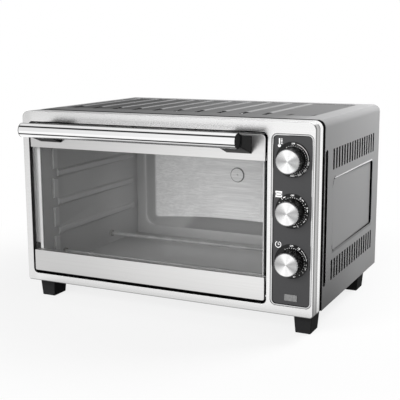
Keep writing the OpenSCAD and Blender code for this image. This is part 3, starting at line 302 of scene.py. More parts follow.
class Sheet:
    """The nodes of one material or of the world."""

    def __init__(self, owner):
        owner.use_nodes = True
        self.owner = owner
        self.tree = owner.node_tree
        self.tree.nodes.clear()

    def node(self, kind, settings=None, inputs=None, output=0):
        """Adds a node: first its settings, then the values or links of its sockets."""
        made = self.tree.nodes.new(kind)
        for key, value in (settings or {}).items():
            setattr(made, key, value)
        for key, value in (inputs or {}).items():
            if isinstance(value, Value):
                self.tree.links.new(value.socket, made.inputs[key])
            else:
                made.inputs[key].default_value = value
        return Value(self, made.outputs[output]) if len(made.outputs) else None

    def axis(self, output, index):
        """One part of a texture coordinate."""
        point = self.node("ShaderNodeTexCoord", output=output)
        return self.node("ShaderNodeSeparateXYZ", None, {0: point}, index)

    def place(self):
        """X, Y and Z of a point on the oven, in metres."""
        return [self.axis("Object", index) for index in range(3)]

    def around(self, centre):
        """Distance of a point from an axis that runs from front to back through a centre."""
        across, up = self.axis("Object", 0) - centre.x, self.axis("Object", 2) - centre.z
        return (across ** 2.0 + up ** 2.0) ** 0.5

    def stretched(self, grains):
        """Object coordinates stretched by one scale, or by one for each axis."""
        point = self.node("ShaderNodeTexCoord", output="Object")
        scale = grains if isinstance(grains, tuple) else (grains,) * 3
        return self.node("ShaderNodeVectorMath", {"operation": "MULTIPLY"}, {0: point, 1: scale})

    def noise(self, grains, detail=2.0, roughness=0.5):
        """Noise with so many grains to a metre."""
        return self.node("ShaderNodeTexNoise", {"noise_dimensions": "3D"}, {
            "Vector": self.stretched(grains), "Scale": 1.0, "Detail": detail, "Roughness": roughness})

    def mix(self, share, first, second):
        """A colour between two colours."""
        return self.node("ShaderNodeMix", {"data_type": "RGBA"}, {0: share, 6: first, 7: second}, 2)

    def tint(self, share, colour, first, second):
        """A colour between two levels of itself."""
        return self.mix(share, rgba(colour, first), rgba(colour, second))

    def bump(self, height, distance):
        """A normal from a height between 0 and 1 that stands for a distance in metres."""
        return self.node("ShaderNodeBump", None, {"Height": height, "Distance": distance, "Strength": 1.0})

    def shader(self, **sockets):
        """One Principled shader with these sockets."""
        named = {key.replace("_", " "): value for key, value in sockets.items()}
        return self.node("ShaderNodeBsdfPrincipled", None, named)

    def surface(self, shader):
        """Ends the material in a shader."""
        self.node("ShaderNodeOutputMaterial", None, {"Surface": shader})
        return self.owner

    def finish(self, **sockets):
        """Ends the material in one Principled shader with these sockets."""
        return self.surface(self.shader(**sockets))

    def path(self, kind):
        """1 for the rays of one kind."""
        return self.node("ShaderNodeLightPath", output=kind)


def rgba(colour, level=1.0):
    """A colour with its alpha, brightened or darkened."""
    return tuple(min(channel * level, 1.0) for channel in colour) + (1.0,)


def fresh(name):
    """The nodes of a new material."""
    return Sheet(bpy.data.materials.new(name))


# Finishes

def satin_paint(name, colour, rough=0.42, shine=0.12, marks=None):
    """Baked paint with faint orange peel and a slow random tone; marks(sheet, base) may add painted light and
    shade.
    """
    s = fresh(name)
    # A slow random change of tone; in this paint it carries no painted shade.
    drift_and_shade = s.noise(9, 3.0)
    fleck = s.noise(2600, 1.0)
    base = s.tint(drift_and_shade, colour, 0.93, 1.06)
    base = s.mix(fleck.ramp(0.62, 0.8) * 0.12, base, rgba(colour, 1.5))
    if marks:
        base = marks(s, base)
    return s.finish(Base_Color=base, Roughness=rough + (drift_and_shade - 0.5) * 0.1, Metallic=0.0,
                    Specular_IOR_Level=shine, Normal=s.bump(s.noise(700), 0.03 * MM))


def roof_painted_light(s, base, colour, roof, sizes):
    """Roof in painted light and shade: a shaded sunk field and front border, lit rib crests and right border,
    black vents.
    """
    x, y, z = s.place()
    low, high = roof
    past, behind = x.ramp(high.x, high.x + MM), y.ramp(low.y, low.y + MM)
    crest = z.ramp(high.z - 0.9 * MM, high.z - 0.1 * MM)
    level = z.ramp(high.z - 1.2 * MM, high.z - 0.3 * MM)
    inside = x.ramp(low.x, low.x + MM) * (1.0 - x.ramp(high.x - MM, high.x)) * behind
    inside = inside * z.ramp(high.z - 1.6 * MM, high.z - 1.3 * MM)
    # Painted shade in the sunk field, easing towards the right, and a painted highlight on the rib crests.
    lit_from_right = x.ramp(low.x + 41 * MM, high.x - 124 * MM)
    base = s.mix(inside * (1.0 - crest) * (0.81 - 0.27 * lit_from_right), base, BLACK)
    base = s.mix(inside * crest * 0.5, base, rgba(colour, 1.3))
    # Painted highlight on the right border, then painted shade on the front border.
    base = s.mix(past * level, base, rgba(colour, 1.2))
    shade = level * (1.0 - behind) * (1.0 - x.ramp(high.x - 60 * MM, high.x))
    base = s.mix(shade * 0.5, base, BLACK)
    # Painted black shadow in the roof vents.
    vent = low.y + sizes.vent_front
    spot = x.row(low.x + sizes.vent_side, sizes.vent_pitch, sizes.vent_wide, 1.8 * MM)
    spot = spot * y.band(vent - 11 * MM, vent + 20 * MM, 4 * MM)
    return s.mix(spot * inside.high(level) * (1.0 - past), base, BLACK)


def side_painted_shade(s, base, hem, sizes):
    """Painted shade on the sides: darker low at the front, and black on the hem, round the slots, under the
    louvres and in the long slot.
    """
    x, y, z = s.place()
    side = abs(x).ramp(SIDE - 10 * MM, SIDE - 5 * MM)
    # Painted shade: darker low down towards the front.
    low, near = 1.0 - z.ramp(FOOT - 4 * MM, FOOT + 116 * MM), 1.0 - y.ramp(FRONT + 29 * MM, FRONT + 269 * MM)
    base = s.mix(low * near * 0.66, base, BLACK)
    first, last = FRONT + sizes.slot_front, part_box("outer_shell")[1].y - sizes.slot_rear
    lower, upper, half = FOOT + sizes.slot_low, FOOT + sizes.slot_high, sizes.slot_half
    # Painted black shadow round the side slots.
    slot = y.row(first, (last - first) / SLOT_STEPS, sizes.slot_wide, 0.6 * MM)
    rows = z.band(lower - half, lower + half, MM) + z.band(upper - half, upper + half, MM)
    rows = rows * y.band(first - 5 * MM, last + 5 * MM, MM)
    base = s.mix(slot * rows * side, base, BLACK)
    # Painted shadow under the louvres.
    louvre = FOOT + sizes.louvre_low
    louvre_shadow = z.band(louvre - 4 * MM, louvre + 2 * MM, 3 * MM) * y.band(first, last, 8 * MM)
    base = s.mix(louvre_shadow * side * 0.4, base, BLACK)
    # Painted black shadow in the long slot behind the front edge.
    long_slot_shade = y.band(hem + 2 * MM, hem + 6 * MM, 0.5 * MM) * z.band(lower - half, upper + half, 2 * MM)
    base = s.mix(long_slot_shade * side, base, BLACK)
    # Painted black shadow on the wrap's front hem.
    return s.mix(y.ramp(hem - 0.3 * MM, hem), BLACK, base)


def brushed_steel(name, colour, rough=0.3, drift_and_shade=0.09, hem=None):
    """Stainless sheet with fine strokes across the oven and painted shade to the left; with a hem, its sides
    get painted reflection bands to that depth.
    """
    s = fresh(name)
    strokes = s.noise((9, 1500, 1500), 4.0, 0.65)
    bands = s.noise((2, 260, 260), 3.0)
    cloud = s.noise(6)
    base = s.tint(strokes, colour, 0.90, 1.08)
    base = s.mix(bands.ramp(0.45, 0.7) * 0.25, base, rgba(colour, 0.9))
    x, y, _ = s.place()
    # Painted shade: the steel darkens towards the left by the given share.
    base = s.mix((1.0 - x.ramp(-SIDE, SIDE - 60 * MM)) * drift_and_shade, base, BLACK)
    metal = 1.0
    if hem:
        metal = 1.0 - 0.8 * s.axis("Normal", 2).ramp(0.35, 0.9)
        depth = y - FRONT
        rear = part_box("front_fascia")[1].y - FRONT
        # Painted reflection on the sides: a dark band back to the hem, with a lighter band in it.
        dull = depth.ramp(0.15 * MM, 0.6 * MM) * (1.0 - depth.ramp(hem - 0.4 * MM, hem))
        dull = dull * abs(x).ramp(SIDE - 4.5 * MM, SIDE - 2.5 * MM)
        light = depth.ramp(4.5 * MM, 6.5 * MM) * (1.0 - 0.4 * depth.ramp(8.5 * MM, 10.5 * MM))
        light = light * (1.0 - depth.ramp(hem - 3.5 * MM, hem - 1.5 * MM))
        base = s.mix(dull * (1.0 - 0.4 * light), base, rgba(colour, 0.17))
        # Painted black shadow at the frame's rear edge and painted shade at its left end.
        base = s.mix(depth.ramp(rear - 1.5 * MM, rear - 0.7 * MM), base, BLACK)
        base = s.mix((1.0 - x.ramp(10 * MM - SIDE, 25 * MM - SIDE)) * 0.1, base, BLACK)
    return s.finish(Base_Color=base, Metallic=metal, Normal=s.bump(strokes, 0.012 * MM),
                    Roughness=rough + (strokes - 0.5) * 0.12 + (cloud - 0.5) * 0.08)


def bright_plating(name, colour, rough, fade=None):
    """Polished plating with finger haze, darkened between two depths by painted shade; a mirror where rough
    is 0.
    """
    s = fresh(name)
    haze = s.noise(28, 3.0)
    base = s.tint(haze, colour, 0.96, 1.03)
    # Painted shade from the first depth to the second.
    if fade:
        base = s.mix((s.axis("Object", 1) - FRONT).ramp(*fade), base, rgba(colour, 0.2))
    dull = rough + haze.ramp(0.5, 0.8) * 0.05 if rough else 0.0
    return s.finish(Base_Color=base, Metallic=1.0, Roughness=dull)


def fluted_plating(name, colours, centre, front, crest):
    """Plating on the crests of the flutes and on the front rim, with painted shade: black in the flutes and
    towards the back.
    """
    s = fresh(name)
    depth = s.axis("Object", 1) - front
    # Painted shade: black in the flutes and towards the back.
    bright = s.around(centre).ramp(crest - 0.4 * MM, crest - 0.1 * MM) * (1.0 - depth.ramp(3 * MM, 9 * MM))
    bright = bright.high(1.0 - depth.ramp(0.7 * MM, 1.3 * MM))
    base = s.mix(bright, rgba(colours.dark), rgba(colours.knob_side))
    return s.finish(Base_Color=base, Metallic=1.0, Roughness=0.12 + s.noise(60, 3.0) * 0.08)


def grained_plastic(name, colour, rough=0.45, shine=0.18):
    """Moulded plastic with a spark-eroded grain."""
    s = fresh(name)
    wear = s.noise(22, 4.0)
    base = s.tint(wear, colour, 0.85, 1.25)
    return s.finish(Base_Color=base, Roughness=rough + (wear - 0.5) * 0.16, Metallic=0.0,
                    Specular_IOR_Level=shine, Normal=s.bump(s.noise(1700), 0.05 * MM))


def plated_sheet(name, colour):
    """Zinc or aluminised sheet with a spangle."""
    s = fresh(name)
    cells = {"Vector": s.stretched(120), "Scale": 1.0}
    spangle = s.node("ShaderNodeTexVoronoi", {"feature": "F1"}, cells, "Distance")
    base = s.tint(spangle.ramp(0.2, 0.9) * 0.5, colour, 0.93, 1.1)
    return s.finish(Base_Color=base, Metallic=1.0, Roughness=0.38 + (s.noise(12, 3.0) - 0.5) * 0.16)


def liner_steel(name, colour, pressed=None):
    """Cavity sheet brushed along X, a little dulled by heat; with pressed guides it gets painted highlights
    on them, painted shade on front faces and painted light to the rear.
    """
    s = fresh(name)
    strokes = s.noise((7, 900, 900), 4.0, 0.65)
    base = s.tint(strokes, colour, 0.86, 1.1)
    base = s.mix(s.noise(5, 3.0).ramp(0.5, 0.8) * 0.12, base, rgba(colour, 0.8))
    if pressed:
        x, y, _ = s.place()
        left, right = pressed[0].x, pressed[1].x
        # Painted highlight on the pressed guides.
        raised = x.ramp(left + 1.5 * MM, left + 3.5 * MM) * (1.0 - x.ramp(right - 3.5 * MM, right - 1.5 * MM))
        base = s.mix(raised * 0.5, base, rgba(colour, 1.35))
        # Painted shade on faces that look to the front.
        base = s.mix((s.axis("Normal", 1) * -1.0).ramp(0.3, 0.8) * 0.5, base, BLACK)
        # Painted light towards the rear of the cavity.
        base = s.mix(y.ramp(FRONT + 169 * MM, FRONT + 269 * MM) * 0.7, base, rgba(colour, 1.35))
    return s.finish(Base_Color=base, Metallic=0.25, Roughness=0.42 + (strokes - 0.5) * 0.2,
                    Normal=s.bump(strokes, 0.01 * MM))


def flange_steel(name, colour, door, mouth):
    """Flange round the cavity's mouth in painted light and shade: bright there, a shade band and a highlight
    line behind the door's rim, a dark pad by the sill and black shadow in the gap.
    """
    s = fresh(name)
    x, _, z = s.place()
    base = s.tint(s.noise((7, 900, 900), 4.0, 0.65), colour, 0.9, 1.08)
    left, right, soft = mouth[0].x, mouth[1].x, 0.4 * MM
    inner, outer, end = left - 7.3 * MM, left - 14.2 * MM, left - 17.4 * MM
    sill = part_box("door_sill_rail")[1].z
    # Painted shade band behind the door's rim, and a painted highlight line beyond it.
    dull, line = x.band(outer, inner, soft), x.band(end, outer, soft)
    level = x.band(inner, right + 1.45 * MM, soft) * 0.62 + dull * 0.42 + line
    # Painted shade at the mouth's left edge.
    level = level * (1.0 - x.band(left - 1.8 * MM, left + MM, soft) * 0.8)
    # A dark pad low down by the sill, and painted black shadow above and below the door.
    pad = dull.high(line) * z.band(sill - 4 * MM, sill + 9 * MM, MM)
    level = level * (1.0 - pad) * z.band(door[0].z, door[1].z, soft)
    # Left of the highlight line, a dim painted shade rather than black.
    level = level.high((1.0 - x.ramp(end - soft, end)) * 0.22)
    return s.finish(Base_Color=s.mix(level, BLACK, base), Metallic=0.0, Roughness=0.5, Specular_IOR_Level=0.2)


def drawn_steel(name, colour):
    """Back wall sheet brushed along X, with painted shade on its drawn slopes and flat front, and a painted
    shadow in the gap round its cap.
    """
    s = fresh(name)
    x, y, _ = s.place()
    strokes = s.noise((4, 420, 420), 4.0, 0.7)
    bands = s.noise((1.2, 140, 140), 3.0)
    # Painted shade on the drawn slopes, less of it at the far left.
    slope_shade = 1.0 - abs(s.axis("Normal", 1)).ramp(0.72, 0.96)
    base = s.tint(strokes.ramp(0.3, 0.7), colour, 0.80, 1.08)
    base = s.mix(bands.ramp(0.4, 0.7) * 0.5, base, rgba(colour, 0.78))
    centre = middle("back_cap")
    side = s.tint(x.ramp(centre.x - 109 * MM, centre.x - 79 * MM), colour, 0.38, 0.17)
    base = s.mix(slope_shade * 0.85, base, side)
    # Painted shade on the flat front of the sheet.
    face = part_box("liner_back")[0].y
    base = s.mix(1.0 - y.ramp(face + 0.6 * MM, face + 1.6 * MM), base, rgba(colour, 0.43))
    # Painted shadow in the gap round the cap.
    low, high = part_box("back_cap")
    rim = (high.x - low.x) / 2
    gap = s.around(centre).band(rim - 0.8 * MM, rim + 1.2 * MM, 0.4 * MM)
    base = s.mix(gap * 0.75, base, BLACK)
    return s.finish(Base_Color=base, Metallic=0.2, Roughness=0.36 + (strokes - 0.5) * 0.2,
                    Normal=s.bump(strokes, 0.012 * MM))


def spun_face(name, colour, centre):
    """Spun disc: rings too fine to count, and light and dark sectors of painted reflection as on spun metal.
    """
    s = fresh(name)
    x, _, z = s.place()
    turn = s.node("ShaderNodeMath", {"operation": "ARCTAN2"}, {0: x - centre.x, 1: z - centre.z})
    # Painted reflection: light and dark sectors round the disc.
    sheen_sectors = (turn * 2.0 - 0.25).math("COSINE") * 0.5 + 0.5
    narrow_sheen = (turn * 7.0 + 1.1).math("COSINE") * 0.5 + 0.5
    rings = s.node("ShaderNodeTexNoise", {"noise_dimensions": "1D"},
                   {"W": s.around(centre), "Scale": 4200.0, "Detail": 2.0})
    base = s.tint(sheen_sectors.ramp(0.05, 0.8) * 0.8 + narrow_sheen * 0.2, colour, 0.42, 1.12)
    base = s.mix(rings.ramp(0.4, 0.75) * 0.18, base, rgba(colour, 0.7))
    return s.finish(Base_Color=base, Metallic=0.85, Roughness=0.3 + (rings - 0.5) * 0.15,
                    Normal=s.bump(rings, 0.01 * MM))


def panel_paint(name, colours, centres, dish):
    """Dark panel paint that turns black inside the dished dials."""
    s = fresh(name)
    grain = s.noise(1900)
    heat, work, time = [1.0 - s.around(centre).ramp(dish - 0.2 * MM, dish + 0.2 * MM) for centre in centres]
    inside = heat.high(work).high(time)
    base = s.mix(inside, s.tint(s.noise(14), colours.panel, 0.92, 1.1), rgba(colours.dial))
    return s.finish(Base_Color=base, Roughness=0.5 - inside * 0.14 + (grain - 0.5) * 0.1, Metallic=0.0,
                    Specular_IOR_Level=0.3, Normal=s.bump(grain, 0.02 * MM))


def door_pane(name, colour):
    """Clear toughened glass that mirrors more at a slant, with faint wipe marks."""
    s = fresh(name)
    wipe = s.noise((14, 14, 40), 4.0).ramp(0.55, 0.9)
    clear = s.node("ShaderNodeBsdfTransparent", None, {"Color": rgba(colour)})
    mirror = s.shader(Base_Color=(0.92, 0.93, 0.93, 1.0), Metallic=1.0, Roughness=0.03 + wipe * 0.05)
    back = s.node("ShaderNodeNewGeometry", output="Backfacing")
    share = s.node("ShaderNodeFresnel", None, {"IOR": 1.45}) * (1.0 - back) + wipe * 0.015
    return s.surface(s.node("ShaderNodeMixShader", None, {0: share, 1: clear, 2: mirror}))


def printed(name, colour):
    """Screen-printed ink with a slightly uneven cover."""
    s = fresh(name)
    return s.finish(Base_Color=s.tint(s.noise(900), colour, 0.88, 1.08), Roughness=0.55, Metallic=0.0,
                    Specular_IOR_Level=0.3)


def heat_tint(name, colour):
    """Heater sheath: dull steel with lighter and darker bands of heat along it."""
    s = fresh(name)
    pits = s.noise(1200)
    base = s.tint(s.noise((30, 8, 8), 3.0).ramp(0.35, 0.7), colour, 1.0, 0.7)
    return s.finish(Base_Color=base, Metallic=0.6, Roughness=0.45 + (pits - 0.5) * 0.2,
                    Normal=s.bump(pits, 0.03 * MM))


def glaze(name, colour):
    """Glazed ceramic with a soft mottle."""
    s = fresh(name)
    mottle = s.noise(60, 3.0)
    return s.finish(Base_Color=s.tint(mottle, colour, 0.9, 1.08), Roughness=0.22 + mottle * 0.1, Metallic=0.0,
                    Coat_Weight=0.3)


def lamp_plastic(name, colour):
    """Smoked clear plastic of the pilot lens."""
    s = fresh(name)
    cloud = s.noise(240)
    return s.finish(Base_Color=s.tint(cloud, colour, 0.75, 1.35), Roughness=0.2 + cloud * 0.1, Metallic=0.0,
                    Coat_Weight=0.4)


# Shapes

def welded(node):
    """A copy of a CAD node's mesh with its loose triangles welded."""
    bm = bmesh.new()
    bm.from_mesh(frame["nodes"][node].data)
    bmesh.ops.remove_doubles(bm, verts=bm.verts, dist=WELD)
    return bm


def merged(node):
    """A copy of a CAD node's mesh with its triangles joined into flat faces."""
    bm = welded(node)
    bmesh.ops.dissolve_limit(bm, angle_limit=FLAT, use_dissolve_boundaries=False,
                             verts=bm.verts, edges=bm.edges)
    return bm


def soften(bm, width, segments=2, wanted=None):
    """Rounds the creased edges of a mesh, or those of them for which wanted(edge) holds."""
    edges = [e for e in bm.edges if len(e.link_faces) == 2 and e.calc_face_angle(0.0) > SHARP]
    edges = [e for e in edges if wanted is None or wanted(e)]
    bmesh.ops.bevel(bm, geom=edges, offset=width, offset_type="OFFSET", affect="EDGES", segments=segments,
                    profile=0.5, material=-1, clamp_overlap=False, loop_slide=True)


def piece(name, bm, body, finish, stands_for=()):
    """Turns a bmesh into a piece that rides on a body and may stand for CAD nodes."""
    mesh = bpy.data.meshes.new(name)
    bm.to_mesh(mesh)
    bm.free()
    for each in finish if isinstance(finish, (list, tuple)) else [finish]:
        mesh.materials.append(each)
    mesh.polygons.foreach_set("use_smooth", [True] * len(mesh.polygons))
    mesh.set_sharp_from_angle(angle=CREASE)
    obj = bpy.data.objects.new(name, mesh)
    bpy.context.scene.collection.objects.link(obj)
    obj.modifiers.new("Even shading", "WEIGHTED_NORMAL").keep_sharp = True
    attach(obj, body)
    if stands_for:
        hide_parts(*stands_for)
    return obj


def dress(node, finish, width, segments=2, wanted=None, hidden=None):
    """Replaces a CAD node by a rounded copy with a finish, or two, the second where hidden(face) holds."""
    bm = merged(node) if width > 0.0 else welded(node)
    if width > 0.0:
        soften(bm, width, segments, wanted)
    if hidden:
        for face in bm.faces:
            face.material_index = int(hidden(face))
    return piece(node + "_dressed", bm, NODE_BODY[node], finish, (node,))


def paint_nodes(nodes, finish):
    """Gives CAD nodes that keep their own mesh a finish."""
    for node in nodes:
        mesh = frame["nodes"][node].data
        mesh.materials.clear()
        mesh.materials.append(finish)


def middle(node):
    """Centre of a CAD node's box."""
    low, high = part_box(node)
    return (low + high) / 2


def ring(bm, low, high, y, radii, steps=8):
    """A rounded rectangle of edges at a depth: a circle pulled apart to its lower and upper corners."""
    half = math.pi / (4 * steps)
    turn = UPRIGHT @ Matrix.Rotation(half, 4, "Z")
    made = bmesh.ops.create_circle(bm, cap_ends=False, segments=4 * steps,
                                   radius=1 / math.cos(half), matrix=turn)
    for v in made["verts"]:
        radius = radii[v.co.z > 0]
        x = high.x - radius if v.co.x > 0 else low.x + radius
        z = high.z - radius if v.co.z > 0 else low.z + radius
        v.co = Vector((x, y, z)) + radius * Vector((v.co.x, 0, v.co.z))
    return list({e for v in made["verts"] for e in v.link_edges})


def rings(bm, low, high, radii, profile, sign=1):
    """Rounded rectangles drawn in (or, with sign -1, out) by the insets of a profile, at its depths."""
    made = []
    for inset, depth in profile:
        by = Vector((sign * inset, 0, sign * inset))
        made.append(ring(bm, low + by, high - by, FRONT + depth, [r - sign * inset for r in radii]))
    return made


def field(bm, *made):
    """Fills the flat field between a ring and the rings inside it."""
    edges = [e for r in made for e in r]
    bmesh.ops.triangle_fill(bm, use_beauty=True, use_dissolve=False, normal=(0, -1, 0), edges=edges)


def skin(bm, made):
    """Joins each ring of edges to the next, across a flat field or over a step in depth."""
    for near, far in zip(made, made[1:]):
        if abs(near[0].verts[0].co.y - far[0].verts[0].co.y) < WELD:
            field(bm, near, far)
        else:
            bmesh.ops.bridge_loops(bm, edges=near + far)


def quarter(radius, steps=5):
    """Insets and depths of a rounded edge that starts on the front face."""
    turns = [math.pi / 2 * i / steps for i in range(steps + 1)]
    return [(radius * (1 - math.sin(t)), radius * (1 - math.cos(t))) for t in turns]


def outwards(bm):
    """Turns a mesh's faces outwards."""
    bmesh.ops.recalc_face_normals(bm, faces=bm.faces)


def upright_grid(bm, low, span, across, up):
    """A grid that stands over a box's front."""
    turn = Matrix.Translation((low.x + span.x / 2, low.y, low.z + span.z / 2)) @ UPRIGHT
    size = Matrix.Diagonal((span.x, span.z, 1, 1))
    return bmesh.ops.create_grid(bm, x_segments=across, y_segments=up, size=0.5, matrix=turn @ size)["verts"]


# Operators

class OVEN_OT_stage(Operator):
    """Sets up the floor, the white backdrop, three soft lights and the camera"""
    bl_idname = "oven.stage"
    bl_label = "Stage"

    def execute(self, context):
        stage = context.scene.oven_stage
        context.scene.view_settings.view_transform = "Standard"
        self.world(context, stage)
        self.floor(context, stage)
        self.lights(context, stage)
        self.camera(context, stage)
        return {"FINISHED"}

    def world(self, context, stage):
        """White room for the eye; in reflections it has a dark flag over the front and a dark far end."""
        world = bpy.data.worlds.new("Studio")
        context.scene.world = world
        s = Sheet(world)
        x, y, z = [s.axis("Generated", index) for index in range(3)]
        rise = s.node("ShaderNodeMath", {"operation": "ARCTAN2"}, {0: z, 1: y * -1.0})
        flag = rise.band(*FLAG_RISE)
        end = rise.ramp(*FAR_RISE) * (1.0 - x.ramp(*FAR_SIDE))
        left = stage.left_fall + (1.0 - stage.left_fall) * x.ramp(*ROOM_LEFT)
        mirrored = left * (1.0 - flag * (1.0 - stage.flag)) * (1.0 - end * (1.0 - stage.far_end))
        straight = s.path("Is Camera Ray").high(s.path("Is Transmission Ray"))
        glossy = s.path("Is Glossy Ray")
        level = straight + (1.0 - straight) * (glossy * mirrored + (1.0 - glossy) * stage.ambient)
        back = s.node("ShaderNodeBackground", None, {"Color": s.mix(level, BLACK, WHITE), "Strength": 1.0})
        s.node("ShaderNodeOutputWorld", None, {"Surface": back})

    def floor(self, context, stage):
        """Pale floor that keeps the shadow and fades to white; metal mirrors it dark at the oven's foot."""
        bm = bmesh.new()
        bmesh.ops.create_grid(bm, x_segments=1, y_segments=1, size=stage.floor_half)
        mesh = bpy.data.meshes.new("floor")
        bm.to_mesh(mesh)
        bm.free()
        obj = bpy.data.objects.new("floor", mesh)
        context.scene.collection.objects.link(obj)
        s = fresh("pale floor")
        base = s.tint(s.noise(30, 3.0), stage.floor, 0.985, 1.015)
        base = s.mix(s.path("Is Diffuse Ray"), base, rgba(stage.floor, stage.bounce))
        lit = s.shader(Base_Color=base, Roughness=0.9, Specular_IOR_Level=0.0)
        x, y, _ = s.place()
        left = stage.left_fall + (1.0 - stage.left_fall) * x.ramp(*FLOOR_LEFT)
        glossy = s.path("Is Glossy Ray")
        strip = y.band(*FLOOR_STRIP, 10 * MM) * s.path("Is Singular Ray") * (1.0 - stage.flag)
        shade = y.ramp(*FLOOR_SHADE) * (1.0 - abs(x).ramp(SIDE + 10 * MM, SIDE + 70 * MM)) * stage.contact
        level = 1.0 - glossy * (1.0 - left * (1.0 - strip) * (1.0 - shade))
        plain = s.node("ShaderNodeEmission", None, {"Color": s.mix(level, BLACK, WHITE), "Strength": 1.0})
        away = ((x * x + y * y) ** 0.5).ramp(stage.floor_near, stage.floor_far)
        share = s.path("Is Camera Ray") * (stage.floor_glow + away * (1.0 - stage.floor_glow))
        share = share.high(glossy.high(s.path("Is Transmission Ray")))
        s.surface(s.node("ShaderNodeMixShader", None, {0: share, 1: lit, 2: plain}))
        mesh.materials.append(s.owner)

    def lights(self, context, stage):
        """Three soft lights that are not seen themselves."""
        softboxes = (("key", stage.key, stage.key_at, stage.key_wide),
                     ("front", stage.front, stage.front_at, stage.front_wide),
                     ("top", stage.top, stage.top_at, stage.top_wide))
        for name, power, place, size in softboxes:
            light = bpy.data.lights.new(name, "AREA")
            light.energy = power
            light.size = size
            obj = bpy.data.objects.new(name, light)
            obj.location = place
            ahead = Vector(stage.aim) - Vector(place)
            obj.rotation_euler = ahead.to_track_quat("-Z", "Y").to_euler()
            obj.visible_camera = obj.visible_glossy = False
            context.scene.collection.objects.link(obj)

    def camera(self, context, stage):
        """Camera at the stand, turned by yaw, pitch and roll."""
        yaw, pitch, roll = stage.yaw, stage.pitch, stage.roll
        ahead = Vector((-math.sin(yaw) * math.cos(pitch), math.cos(yaw) * math.cos(pitch), -math.sin(pitch)))
        right = Vector((math.cos(yaw), math.sin(yaw), 0.0))
        up = right.cross(ahead)
        side = right * math.cos(roll) + up * math.sin(roll)
        top = up * math.cos(roll) - right * math.sin(roll)
        data = bpy.data.cameras.new("camera")
        data.sensor_width = 36.0
        data.lens = stage.lens
        obj = bpy.data.objects.new("camera", data)
        turn = Matrix((side, top, -ahead)).transposed().to_4x4()
        obj.matrix_world = Matrix.Translation(Vector((0.0, FRONT, FOOT)) + Vector(stage.stand)) @ turn
        context.scene.collection.objects.link(obj)
        context.scene.camera = obj


class OVEN_OT_shell(Operator):
    """Dresses the painted wrap, the rear cover, the bottom plate, the feet and their screws"""
    bl_idname = "oven.shell"
    bl_label = "Shell and feet"

    def execute(self, context):
        sizes, colours = context.scene.oven_sizes, context.scene.oven_colours
        low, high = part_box("outer_shell")
        roof = (Vector((low.x + sizes.roof_left, low.y + sizes.roof_front, 0)),
                Vector((high.x - sizes.roof_right, 0, high.z)))
        hem = low.y + sizes.shell_hem

        # Painted light and shade on the wrap's roof and sides.
        def marks(s, base):
            return side_painted_shade(s, roof_painted_light(s, base, colours.shell, roof, sizes), hem, sizes)

        wrap = satin_paint("wrap paint", colours.shell, marks=marks)
        paint = satin_paint("shell paint", colours.shell)
        bm = merged("outer_shell")
        soften(bm, sizes.sheet_round)
        # Faces that look into the oven, its slots or vents get a painted black shade.
        for face in bm.faces:
            face.material_index = self.inward(face, low, high)
        dark = satin_paint("inner painted shade", colours.dark, 0.8, 0.0)
        piece("wrap", bm, HOUSING, (wrap, dark), ("outer_shell",))
        # The beads over the louvres get a painted highlight: the shell paint at about twice its brightness.
        self.louvre_beads(sizes, high, satin_paint("bead painted highlight", [min(2.1 * c, 1.0) for c in colours.shell]))
        # The rear cover's faces that look into the oven get the painted black shade too.
        dress("rear_cover", (paint, dark), sizes.sheet_round, hidden=lambda face: face.normal.y < -0.3)
        paint_nodes(["bottom_plate"], plated_sheet("plated sheet", colours.zinc))
        black = grained_plastic("foot plastic", colours.foot, 0.5, 0.03)
        for end in ("front_left", "front_right", "rear_left", "rear_right"):
            dress("foot_" + end, black, sizes.foot_round, 3)
        dress("cord_gland", black, sizes.sheet_round)
        steel = bright_plating("screw plating", colours.zinc, 0.25)
        for node in ("foot_screws", "rear_screws", "handle_screws"):
            dress(node, steel, sizes.sheet_round)
        return {"FINISHED"}

    @staticmethod
    def louvre_beads(sizes, high, finish):
        """Fine beads pressed outwards over the two louvres, thicker to the rear."""
        start, end = FRONT + sizes.louvre_front, FRONT + sizes.louvre_rear
        thin, thick = 0.8 * sizes.louvre_bead, sizes.louvre_bead
        bm = bmesh.new()
        for side in (-1, 1):
            at = side * (high.x - sizes.louvre_seat), (start + end) / 2, FOOT + sizes.louvre_top
            turn = Matrix.Translation(at) @ Matrix.Rotation(-math.pi / 2, 4, "X")
            bmesh.ops.create_cone(bm, cap_ends=True, segments=16, radius1=thin, radius2=thick,
                                  depth=end - start, matrix=turn)
        piece("louvre_beads", bm, HOUSING, finish)

    @staticmethod
    def inward(face, low, high):
        """1 for a face of the wrap that looks into the oven, into a slot or vent, or is a steep wall just
        under the roof's top; these get a painted black shade.
        """
        at, way = face.calc_center_median(), face.normal
        near, edge = 9 * MM, 1.5 * MM
        if abs(at.x) > high.x - near:
            rim = at.y < low.y + edge or at.y > high.y - edge or at.z < low.z + edge
            slot = abs(way.x) < 0.5 and not rim and at.z < high.z - 20 * MM
            return int(way.x * at.x < -0.3 * abs(at.x) or slot)
        return int(at.z > high.z - near and (way.z < -0.3 or way.z < 0.5 and at.z < high.z - 1.2 * MM))


